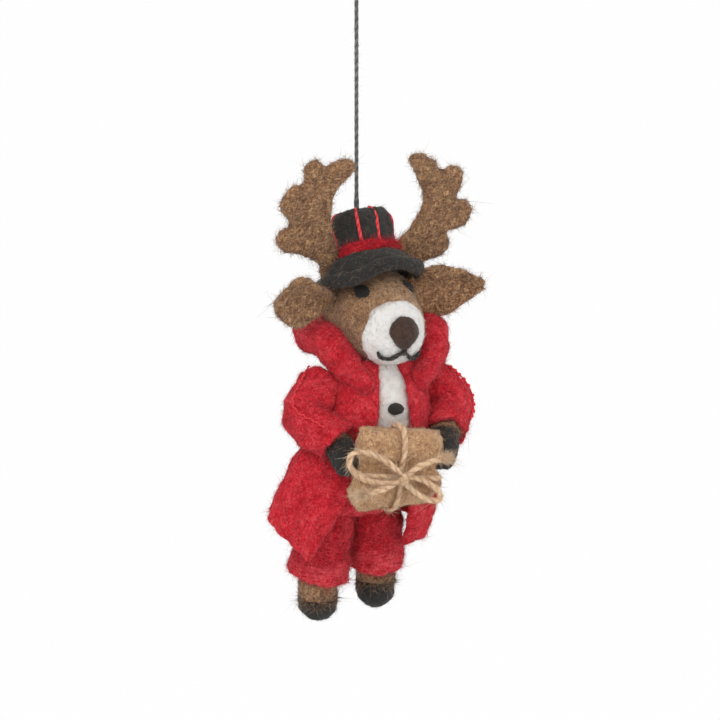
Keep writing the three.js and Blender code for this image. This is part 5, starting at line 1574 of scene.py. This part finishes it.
@dataclass
class Arm:
    """One sleeve with its seam's stitches, and the arm and hoof in it."""

    bench: Bench
    shape: ArmShape
    name: str
    seed: int
    body: BodyShape = BodyShape()
    stitch: Yarn = Yarn(0.0006, 2, 0.0024, 0.2)
    zigzag: float = 0.00022
    bead: float = 0.0014

    def build(self) -> None:
        """Makes the sleeve, the stitches, the arm and the hoof."""
        self.sleeve()
        self.stitches()
        self.arm()

    def sleeve(self) -> None:
        """The sleeve: a stuffed limb with an open cuff round the arm."""
        seed, limb = self.seed, self.shape.sleeve
        form = limb.cuffed(70, 84, self.shape.arm_radius + GAP, 0.3, 0.0005)
        crease = 0.00045 * np.sin(form.points[:, 2] / 0.0009 + 1.6 * lumps(form.points, 0.006, seed))
        form = form.felted(0.0005, 0.007, seed + 1).raised(crease * 0.35).pressed(
            self.body.coat.press(SINK))
        tone = mottled(form.points, 0.5, (0.1, 0.007, seed + 2), (0.05, 0.0025, seed + 3))
        self.bench.napped(f"sleeve_felt_{self.name}", form, Slot.RED_FELT, [f"sleeve_{self.name}"], 0.8,
            tone, FLUFFY, (0, -0.4, -1), seed + 4, tint=lambda roots: 0.15
            * lumps(roots, 0.005, seed + 5))

    def _seam(self, shares: Array) -> tuple[Array, Array]:
        """Points along the sleeve's seam, and the direction across it."""
        side, limb = self.shape.side, self.shape.sleeve
        start, end = (((-1, 0.1, 0.75), (-0.6, -0.5, 0.6)) if side < 0
            else ((1, -0.55, 0.35), (1, -0.5, 0.2)))
        facing = unit(blend(np.array(start), np.array(end), shares[:, None]))
        tangent = limb.path.tangents(shares)
        out = unit(facing - tangent * np.einsum("ij,ij->i", facing, tangent)[:, None])
        lift = limb.radius(shares) + GAP + 0.25 * self.stitch.diameter
        return limb.path.at(shares) + out * lift[:, None], np.cross(tangent, out)

    def stitches(self) -> None:
        """The seam: a thread that zigzags down the sleeve, with knots of thread on the left."""
        points, across = self._seam(np.linspace(0.14 if self.shape.side < 0 else 0.4, 0.9, 27))
        swing = self.zigzag * np.where(np.arange(27) % 2, 1.0, -1.0)
        path = SmoothPath(points + across * swing[:, None])
        threads = [self.stitch.along(path, (0.3, 1, 0.2), self.seed + 6, sides=10, step=0.0002)]
        if self.shape.side > 0:
            for number in range(0, 27, 3):
                knot = ellipsoid_over(self.bead, self.bead, 0.8 * self.bead, 10, 14)
                knot = knot.felted(0.0001, 0.0008, self.seed + number).placed(np.eye(3), points[number])
                threads.append((knot, np.full(len(knot.points), 0.5)))
        form, tone = merged(threads)
        self.bench.piece(f"sleeve_stitch_{self.name}", form, Slot.RED_THREAD,
            [f"sleeve_thread_{self.name}"], tone)

    def arm(self) -> None:
        """The brown arm and the dark felted hoof that carries on from it."""
        seed, limb, lay = self.seed, self.shape.arm, (0, -1, -0.6)
        line = 1 - self.shape.hoof_length / limb.length
        arm = limb.section(0, line, 40, 56, 0.0006).felted(0.00022, 0.005, seed + 11)
        self.bench.padded(f"arm_wool_{self.name}", arm, Slot.BROWN_WOOL, [f"arm_{self.name}"], 1.0)
        hoof = limb.section(line + GAP / limb.length, 1, 40, 56, 0.0006).felted(0.0003, 0.005, seed + 12)
        self.bench.napped(f"front_hoof_wool_{self.name}", hoof, Slot.BLACK_WOOL,
            [f"front_hoof_{self.name}"], 1.0, 0.42, replace(CLOSE, tone=(0.1, 0.95)), lay, seed + 13)
        past_cuff, near = limb.path.at(np.array([0.3, line]))
        self.bench.nap(f"arm_nap_{self.name}", arm, Slot.BROWN_WOOL, LAID, lay, seed + 14, lambda roots,
            _: roots[:, 1] < past_cuff[1])
        self.bench.nap(f"front_hoof_brown_hairs_{self.name}", hoof, Slot.BROWN_WOOL, MIXED, lay,
            seed + 15, lambda roots, _: np.linalg.norm(roots - near, axis=1) < 0.0062)


# Trousers and legs

@dataclass(frozen=True)
class LegShape:
    """A trouser leg and the leg inside it, on one side."""

    side: int
    cuff_down: float
    cuff_radius: float
    foot_down: float
    hoof_height: float
    lean: float = -0.002
    hip_aside: float = 0.0076
    hip_forward: float = 0.0039
    hip_down: float = 0.087
    leg_radius: float = 0.006
    leg_aside: float = 0.0104
    leg_back: float = 0.0026
    leg_top: float = 0.1
    trouser_radius: float = 0.0081

    @property
    def trouser(self) -> Limb:
        """The trouser leg from the hip to the cuff."""
        hip = at(self.lean + self.side * self.hip_aside, self.hip_forward, self.hip_down)
        cuff = at(self.lean + self.side * self.leg_aside, -self.leg_back, self.cuff_down)
        radii = [self.trouser_radius, self.trouser_radius * 0.96,
            (self.trouser_radius + self.cuff_radius) / 2, self.cuff_radius]
        return Limb([hip, blend(hip, cuff, 0.5), blend(hip, cuff, 0.8), cuff], radii, round_end=False)

    @property
    def leg(self) -> Limb:
        """The leg from inside the trouser to the foot."""
        out = self.lean + self.side * self.leg_aside
        path = [at(out, -0.65 * self.leg_back, self.leg_top),
            at(out, -self.leg_back, (self.leg_top + self.foot_down) / 2),
            at(out, -self.leg_back, self.foot_down)]
        return Limb(path, [share * self.leg_radius for share in (0.86, 0.98, 1)])


LEGS = {"right": LegShape(-1, 0.1124, 0.0097, 0.1283, 0.0068),
    "left": LegShape(1, 0.1112, 0.0085, 0.1264, 0.0086)}


@dataclass
class Trousers:
    """The stuffed seat, hidden by the coat and the parcel."""

    bench: Bench
    top: float = 0.0783
    depth: float = 0.0155
    half_width: float = 0.0155
    half_depth: float = 0.0115
    forward: float = 0.0065
    lean: float = -0.002

    def build(self) -> None:
        """Makes the seat."""
        share = np.linspace(0, 1, 40)
        centre = spread(self.lean * smooth((0.5, 0.6, 0.7, 0.8), share), -self.forward
            * smooth((1.25, 1.1, 0.75, 0.3), share), -self.top - self.depth * share)
        form = stacked_over(96, centre, self.half_width * smooth((0.8, 0.98, 1, 0.86), share),
            self.half_depth * smooth((0.86, 1, 0.94, 0.62), share))
        form = form.felted(0.0003, 0.008,
            101).pressed(*(leg.trouser.press(SINK) for leg in LEGS.values()))
        tone = mottled(form.points, 0.46, (0.08, 0.006, 102))
        self.bench.napped("seat_felt", form, Slot.RED_FELT, ["trouser_seat"], 0.8, tone,
            replace(LAID, density=3.0e6), (1, 0, 0), 103)


@dataclass
class Leg:
    """One trouser leg with its rolled cuff, and the leg and hoof in it."""

    bench: Bench
    shape: LegShape
    name: str
    seed: int
    wrap_pitch: float = 0.0011
    wrap_depth: float = 0.00008

    def build(self) -> None:
        """Makes the trouser leg, the leg and the hoof."""
        self.trouser()
        self.leg()

    def trouser(self) -> None:
        """The trouser leg: wool wrapped round and round, with a thick rolled cuff."""
        seed, cuff = self.seed, self.shape.cuff_down
        form = self.shape.trouser.cuffed(84, 96, self.shape.leg_radius + GAP, 0.62, 0.0007)
        level = mottled(form.points, form.points[:, 2], (0.0009, 0.009, seed))
        wraps = self.wrap_depth * np.sin(2 * np.pi * level / self.wrap_pitch)
        form = form.raised(wraps).felted(0.00036, 0.008, seed + 1, 0.00004)
        # The tone is lighter on the wraps' ridges and darker between them, which is painted shade, and
        # lighter over the rolled cuff.
        low = eased(-form.points[:, 2], cuff - 0.0055, cuff - 0.002)
        tone = mottled(form.points, 0.48 + 0.05 * wraps / self.wrap_depth + 0.22 * low,
            (0.07, 0.005, seed + 2))
        self.bench.napped(f"trouser_felt_{self.name}", form, Slot.RED_FELT, [f"trouser_leg_{self.name}"],
            0.85, tone, LAID, (1, 0.6 * self.shape.side, 0), seed + 3, tint=lambda roots: 0.15
            * lumps(roots, 0.004, seed + 4))

    def leg(self) -> None:
        """The brown leg and the black hoof felted on to its end."""
        seed, limb = self.seed, self.shape.leg
        line = 1 - self.shape.hoof_height / limb.length
        leg, hoof = (limb.section(*ends, 44, 64, 0.0005).felted(0.00026, 0.006, seed + 11) for ends
            in ((0, line), (line + GAP / limb.length, 1)))
        self.bench.padded(f"leg_wool_{self.name}", leg, Slot.BROWN_WOOL, [f"leg_{self.name}"], 1.0, 0.65)
        self.bench.padded(f"rear_hoof_wool_{self.name}", hoof, Slot.BLACK_WOOL,
            [f"rear_hoof_{self.name}"], 1.0, 0.44)
        self.bench.nap(f"leg_nap_{self.name}", leg, Slot.BROWN_WOOL, LAID, (0.5, 0, -1), seed + 12,
            lambda roots, _: roots[:, 2] < 0.003 - self.shape.cuff_down)
        self.bench.nap(f"rear_hoof_nap_{self.name}", hoof, Slot.BLACK_WOOL,
            replace(CLOSE, tone=(0.1, 0.85)), (0.5, 0, -1), seed + 13)
        top = limb.path.at(np.array([line]))[0, 2]
        mixed = lambda roots, _: np.abs(roots[:, 2] - top) < 0.002
        self.bench.nap(f"rear_hoof_brown_hairs_{self.name}", hoof, Slot.BROWN_WOOL, LAID, (0.2, 0, -1),
            seed + 14, mixed)
        self.bench.nap(f"leg_black_hairs_{self.name}", leg, Slot.BLACK_WOOL,
            replace(LAID, tone=(0.1, 0.7)), (0.2, 0, 1), seed + 15, mixed)


# Parcel

@dataclass
class Parcel:
    """The tan felt parcel, the twine round it both ways, and the twine's bow."""

    bench: Bench
    body: BodyShape = BodyShape()
    aside: float = -0.0038
    forward: float = 0.0312
    down: float = 0.0742
    roll: float = 8.0
    width: float = 0.03
    height: float = 0.0245
    depth: float = 0.01
    foot_tilt: float = 8.0
    waist_down: float = 0.0022
    squareness: float = 0.55
    twine: Yarn = Yarn(0.00175, 2, 0.007, 0.16, slub=0.16)
    twine_sink: float = 0.0005
    twine_aside: float = -0.001
    knot_width: float = 0.0042
    knot_shift: float = 0.0012
    loop_reach: float = 0.019
    loop_width: float = 0.0082
    loop_sag: float = 0.0014
    tail_reach: float = 0.0145

    TEARDROP = ((0, 0.1), (0.3, 0.42), (0.7, 0.52), (0.96, 0.28), (0.98, -0.12), (0.74, -0.46),
        (0.34, -0.4), (0, -0.1))
    FALLS = ((0, 0), (0.35, 0.55), (0.7, 0.85), (1, 1))
    KNOT_TURNS = ((0, -0.5, 0.5), (0.4, -0.8, 0.1), (0.1, -0.6, -0.6), (-0.5, 0, -0.5), (-0.3, 0.6, 0.1),
        (0.3, 0.4, 0.6), (0.5, -0.3, 0.4), (0, -0.75, -0.1), (-0.5, -0.5, 0.3))
    CORNER = 0.86
    AROUND = ((1, 0), (CORNER, CORNER), (0, 1), (-CORNER, CORNER), (-1, 0), (-CORNER, -CORNER), (0, -1),
        (CORNER, -CORNER))

    def _place(self, form: Form) -> Form:
        """A form from the parcel's frame in the figure's."""
        return form.placed(turned("Y", self.roll), at(self.aside, self.forward, self.down))

    @property
    def twine_lift(self) -> float:
        """How far the twine's middle lies off the felt."""
        return self.twine.diameter / 2 - self.twine_sink

    def build(self) -> None:
        """Makes the parcel, its twine and the bow."""
        self.felt()
        self.wrap()
        self.bow()

    def _section(self, share: Array) -> tuple[Array, Array]:
        """The half width and half depth at shares up the parcel, drawn in at the twine."""
        return (self.width / 2 * smooth((0.8, 0.98, 0.98, 0.91, 0.95, 0.98, 0.93), share), self.depth / 2
            * smooth((0.34, 0.85, 1, 0.72, 1, 0.86, 0.3), share))

    def felt(self) -> None:
        """The parcel: squared level ellipses, thin at both folds, with soft pleats at the twine."""
        share = np.concatenate([np.linspace(0, 0.04, 5)[:-1], np.linspace(0.04, 0.96, 70),
            np.linspace(0.96, 1, 5)[1:]])[:, None]
        angle = circle(150)[None, :]
        half_width, half_depth = self._section(share)
        rounding = 0.35 + 0.65 * bulge(np.minimum(np.minimum(share, 1 - share) / 0.04, 1))
        across, deep = (np.sign(wave) * np.abs(wave) ** self.squareness for wave
            in (np.cos(angle), np.sin(angle)))
        x = half_width * across * (0.97 + 0.03 * rounding)
        near_waist = np.exp(-((share - 0.5 + self.waist_down / self.height) / 0.1) ** 2)
        near_line = np.exp(-((x - self.twine_aside) / 0.0022) ** 2)
        pleat = 0.00035 * near_waist * np.sin(x / 0.0009) - 0.0007 * near_line - 0.0006 * near_waist
        y = (half_depth * rounding + pleat * np.minimum(half_depth / 0.003, 1)) * deep
        z = self.height * (share - 0.5) + np.tan(np.radians(self.foot_tilt)) * (1
            - share) * half_width * across
        form = self._place(body_over(spread(x, y, z))).felted(0.0004, 0.006, 121)
        form = form.pressed(self.body.coat.press(0.0, 0.02),
            *(arm.arm.press(0.0) for arm in ARMS.values()))
        local = (form.points - at(self.aside, self.forward, self.down)) @ turned("Y", self.roll)
        # Painted shade along the felt just under the level turn of twine: the tone darkens there.
        shade_under_twine = np.exp(-((local[:, 2] + self.waist_down + 0.0012) / 0.0013) ** 2)
        tone = mottled(form.points, 0.52 - 0.16 * shade_under_twine, (0.09, 0.006, 122), (0.08, 0.002, 123))
        self.bench.napped("parcel_felt", form, Slot.TAN_FELT, ["parcel"], 0.7, tone, CLOSE, (0.4, 0, -1),
            124)

    def _twine(self, part: str, strands: Sequence[Toned], paths: Sequence[SmoothPath], seed: int) -> None:
        """Makes strands of twine, with the fibres that lie along them and stand off them."""
        form, tone = merged(strands)
        form = self._place(form)
        self.bench.piece(f"{part}_yarn", form, Slot.JUTE_TWINE, [part], tone)
        short = Nap(density=3.0e6, length=0.0014, lift=26, scatter=1.0, radius=0.00004, curl=0.9,
            tone=(0.3, 1.0))
        standing = short.on(form, (0.4, -0.3, -1), seed)
        laid, tone = merged([self.twine.hairs(path, seed + 10 + number) for number,
            path in enumerate(paths)])
        form, tone = merged([standing, (self._place(laid), tone)])
        self.bench.piece(f"{part}_hairs", form, Slot.JUTE_TWINE, tone=tone)

    def wrap(self) -> None:
        """The turn of twine up and down the parcel and the level turn at its waist."""
        lift = self.twine_lift
        half_height = self.height / 2 + lift
        front = self.depth / 2 + lift
        upper = [(-share * front, rise * half_height) for share, rise in ((1, 0.46), (0.55, 0.97))]
        run = [(-front * 0.8, -self.waist_down), *upper]
        back = [(-y, z) for y, z in run[::-1]]
        under = [(-y, -z) for y, z in upper]
        lower = [(y, -z) for y, z in upper[::-1]]
        upright = SmoothPath([(self.twine_aside, y, z) for y, z in run + back + under + lower],
            closed=True)
        half_width, half_depth = (value + lift for value
            in self._section(np.array(0.5 - self.waist_down / self.height)))
        level = SmoothPath([(x * half_width, y * half_depth, -self.waist_down) for x, y in self.AROUND],
            closed=True)
        strands = [self.twine.along(upright, (1, 0, 0), 131), self.twine.along(level, (0, 0, 1), 132)]
        self._twine("twine_wrap", strands, [upright, level], 133)

    def bow(self) -> None:
        """The bow: a knot before the level turn, a loop each side, and two frayed tails."""
        _, half_depth = self._section(np.array(0.5 - self.waist_down / self.height))
        front = half_depth + self.twine_lift + self.twine.diameter / 2 + GAP + self.knot_width / 2
        centre = np.array([self.twine_aside - self.knot_shift, -float(front), -self.waist_down])
        paths = []
        reach, width = np.array(self.TEARDROP).T
        for side, rise, long, wide in ((-1, 0.24, 1.0, 1.0), (1, -0.3, 0.8, 0.6)):
            paths.append(SmoothPath(centre
                + spread(side * reach * long * self.loop_reach, self.loop_sag * eased(reach, 0, 0.6),
                width * wide * self.loop_width + rise * reach * self.loop_reach)))
        reach, fall = np.array(self.FALLS).T
        for side, rise in ((-1, -0.36), (1, 0.5)):
            paths.append(SmoothPath(centre
                + spread(side * reach * self.tail_reach, -self.twine.diameter / 2 * reach, fall * rise
                * self.tail_reach)))
        strands = [self.twine.along(path, (0.02, 1, 0), 141 + 2 * number,
            swell=lambda share: (1 - 0.3 * eased(share, 0.9, 1.0))) for number, path in enumerate(paths)]
        turns = np.array(self.KNOT_TURNS, dtype=float)
        tight = SmoothPath(turns * self.knot_width * 0.42 + centre, closed=True)
        strands.append(self.twine.along(tight, (0.3, 0.2, 1), 149))
        self._twine("twine_bow", strands, [*paths, tight], 151)
        fray, tone = merged([self._fray(path, seed) for path, seed in zip(paths[2:], (146, 148))])
        self.bench.piece("twine_frayed_ends", self._place(fray), Slot.JUTE_TWINE, tone=tone)

    def _fray(self, path: SmoothPath, seed: int, count: int = 460) -> Toned:
        """The fibres at a cut end: they leave the last third of the tail and spread."""
        rng = np.random.default_rng(seed)
        share = rng.uniform(0.7, 1.0, count)
        roots = path.at(share) + rng.normal(size=(count, 3)) * 0.22 * self.twine.diameter
        leads = unit(path.tangents(share) + 0.32 * rng.normal(size=(count, 3)))
        bends = 0.45 * rng.normal(size=(count, 3)) + np.array([0, 0, -0.12])
        form = fibres_along(roots, leads, bends, rng.uniform(0.0014, 0.004, count), rings=3)
        return form, np.repeat(rng.uniform(0.35, 0.95, count), 10)


# Hanger

@dataclass
class Hanger:
    """The cord: an eye, its knot, the straight run into the crown, and its anchor knot."""

    bench: Bench
    cord: Yarn = Yarn(0.00125, 2, 0.0052, 0.12, slub=0.06)
    eye_width: float = 0.01
    eye_length: float = 0.015
    eye_knot_width: float = 0.0038
    anchor_knot_width: float = 0.0034
    anchor_depth: float = 0.0055
    thick_run: float = 0.0062
    knot_grip: float = 0.0003
    hair_room: float = 0.003

    def build(self) -> None:
        """Makes the run and the eye with their knots."""
        eye_knot = self._knot("eye_knot", self.eye_length, self.eye_knot_width, Body.KNOT, 161)
        anchor_down = HAT_DROP + self.anchor_depth
        anchor = self._knot("anchor_knot", anchor_down, self.anchor_knot_width, Body.CORD, 163)
        self._run()
        self._eye()

    def _cord(self, name: str, twisted: Toned, node: str, body: Body) -> bpy.types.Object:
        """Makes a piece of cord."""
        form, tone = twisted
        return self.bench.piece(name, form, Slot.COTTON_CORD, [node], tone, body, drop=0)

    def _knot(self, node: str, down: float, width: float, body: Body, seed: int) -> bpy.types.Object:
        """A tight overhand knot: the curve (sin t + 2 sin 2t, cos t - 2 cos 2t, -3 sin 3t) scaled."""
        t = circle(40)
        curve = spread(np.sin(t) + 2 * np.sin(2 * t), np.cos(t) - 2 * np.cos(2 * t), -3 * np.sin(3 * t))
        path = SmoothPath(curve * (width - self.cord.diameter) / 6 + at(0, 0, down), closed=True)
        return self._cord(f"{node}_cord", self.cord.along(path, (0.2, 0.3, 1), seed, step=0.0002), node,
            body)

    def _run(self) -> None:
        """The straight run between the knots, a little thicker where it enters the crown."""
        top = self.eye_length + self.eye_knot_width / 2 - self.knot_grip
        bottom = HAT_DROP + self.anchor_depth - self.anchor_knot_width / 2 + self.knot_grip
        free = HAT_DROP - top
        points = spread(0.0, 0.0, -np.linspace(top, bottom, 25))
        thick = lambda share: 1 + 0.3 * eased(share * (bottom - top), free - self.thick_run, free - 0.6
            * self.thick_run)
        twisted = self.cord.along(SmoothPath(points), (0, 1, 0), 165, step=0.0003, swell=thick)
        thing = self._cord("hanger_cord_run", twisted, "hanger_cord", Body.CORD)
        fine = Nap(density=2.4e6, length=0.001, lift=20, scatter=0.9, radius=0.00003, curl=0.8)
        hairs, tones = fine.on(twisted[0], (0, 0, -1), 166, lambda roots,
            _: (np.abs(roots[:, 2] + (HAT_DROP + top) / 2) < (free - self.hair_room) / 2))
        self.bench.piece("hanger_cord_hairs", hairs, Slot.COTTON_CORD, tone=tones, body=Body.CORD, drop=0)

    def _eye(self) -> None:
        """The eye: one turn of the cord up from the knot and back."""
        radius = self.cord.diameter / 2
        half = self.eye_width / 2 + radius
        foot = self.eye_length - self.eye_knot_width / 2 + self.knot_grip
        shares = ((1, 0.72), (0.95, 0.4), (0.6, 0.1))
        right = [at(-out * half, 0, down * foot - radius) for out, down in shares]
        left = [at(out * half, 0, down * foot - radius) for out, down in shares[::-1]]
        foot_aside = radius + GAP / 2
        path = SmoothPath([at(-foot_aside, 0, foot), *right, at(0, 0, -radius), *left,
            at(foot_aside, 0, foot)])
        twisted = self.cord.along(path, (0, 1, 0), 168, step=0.0003)
        thing = self._cord("hanger_eye_loop", twisted, "hanger_eye", Body.EYE)
        path.length()
        path.at(np.linspace(0, 1, 40)).tolist()


# Studio

@dataclass
class Studio:
    """The camera, the soft lamps, the white surroundings and the pale floor."""

    target: Sizes = (-0.003378, -0.008029, -0.12997)
    azimuth: float = -30.0
    elevation: float = 11.0
    distance: float = 2.0
    view_width: float = 0.2232
    sensor: float = 36.0
    world_strength: float = 0.74
    floor_level: float = -0.36
    floor_size: float = 6.0
    floor_glow: float = 0.97

    def _aimed(self, name: str, data: bpy.types.ID, away: Vector) -> bpy.types.Object:
        """A camera or lamp at a place from the target, turned towards it."""
        thing = bpy.data.objects.new(name, data)
        thing.location = Vector(self.target) + away
        thing.rotation_euler = (-away).to_track_quat("-Z", "Y").to_euler()
        bpy.context.scene.collection.objects.link(thing)
        return thing

    def camera(self) -> None:
        """A long lens at the photograph's angle, with a view as wide as the photograph."""
        turn, rise = np.radians(self.azimuth), np.radians(self.elevation)
        away = Vector((np.sin(turn) * np.cos(rise), -np.cos(turn) * np.cos(rise), np.sin(rise)))
        lens = bpy.data.cameras.new("camera")
        lens.sensor_width = self.sensor
        lens.lens = self.sensor * self.distance / self.view_width
        lens.clip_start = 0.01
        bpy.context.scene.camera = self._aimed("camera", lens, away * self.distance)

    def lamp(self, name: str, place: Sizes, size: float, power: float) -> None:
        """A square lamp."""
        light = bpy.data.lights.new(name, "AREA")
        light.size = size
        light.energy = power
        self._aimed(name, light, Vector(place))

    @staticmethod
    def _seen(nodes: NodeTree) -> bpy.types.NodeSocket:
        """1 for camera, mirror and glass rays, and 0 for the object's light."""
        rays = nodes.add("LightPath").outputs
        total = nodes.math("MAXIMUM", rays["Is Camera Ray"], rays["Is Glossy Ray"])
        return nodes.math("MAXIMUM", total, rays["Is Transmission Ray"])

    def world(self) -> None:
        """White surroundings: full white where they are seen, and softer as light."""
        world = bpy.data.worlds.new("surroundings")
        bpy.context.scene.world = world
        world.use_nodes = True
        nodes = NodeTree(world.node_tree)
        strength = nodes.fill(nodes.add("MapRange"), Value=self._seen(nodes), To_Min=self.world_strength,
            To_Max=1.0)
        nodes.fill(world.node_tree.nodes["Background"], Color=(1, 1, 1, 1),
            Strength=strength.outputs["Result"])

    def floor(self) -> None:
        """The pale floor far below, which keeps the shadow and otherwise looks white."""
        half = self.floor_size / 2
        mesh = bpy.data.meshes.new("floor")
        corners = [(x * half, y * half, self.floor_level) for x,
            y in ((-1, -1), (1, -1), (1, 1), (-1, 1))]
        mesh.from_pydata(corners, [], [(0, 1, 2, 3)])
        floor = bpy.data.objects.new("floor", mesh)
        bpy.context.scene.collection.objects.link(floor)
        material = bpy.data.materials.new("pale_floor")
        material.use_nodes = True
        nodes = NodeTree(material.node_tree)
        shader = nodes.fill(material.node_tree.nodes["Principled BSDF"],
            Base_Color=(0.92, 0.92, 0.92, 1), Roughness=0.9)
        share = nodes.math("MULTIPLY", self._seen(nodes), self.floor_glow)
        mix = nodes.add("MixShader", share, shader.outputs[0], nodes.add("Emission").outputs[0])
        nodes.fill(material.node_tree.nodes["Material Output"], Surface=mix.outputs[0])
        mesh.materials.append(material)

    def build(self) -> None:
        """Sets the camera, the lamps, the world and the floor."""
        self.camera()
        self.lamp("key", (-0.9, -0.9, 1.1), 0.9, 9.5)
        self.lamp("fill", (1.2, -0.8, 0.3), 1.2, 3.0)
        self.world()
        self.floor()
        bpy.context.scene.view_settings.view_transform = "Standard"


def main() -> None:
    """Builds the studio and each sub-assembly."""
    logging.basicConfig(level=logging.INFO, format="%(name)s: %(message)s")
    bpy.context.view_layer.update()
    Studio().build()
    bench = Bench()
    Hanger(bench).build()
    Head(bench).build()
    TopHat(bench).build()
    Torso(bench).build()
    Coat(bench).build()
    for seed, (name, shape) in zip((201, 231), ARMS.items()):
        Arm(bench, shape, name, seed).build()
    Trousers(bench).build()
    for seed, (name, shape) in zip((261, 291), LEGS.items()):
        Leg(bench, shape, name, seed).build()
    Parcel(bench).build()


if __name__ == "__main__":
    main()
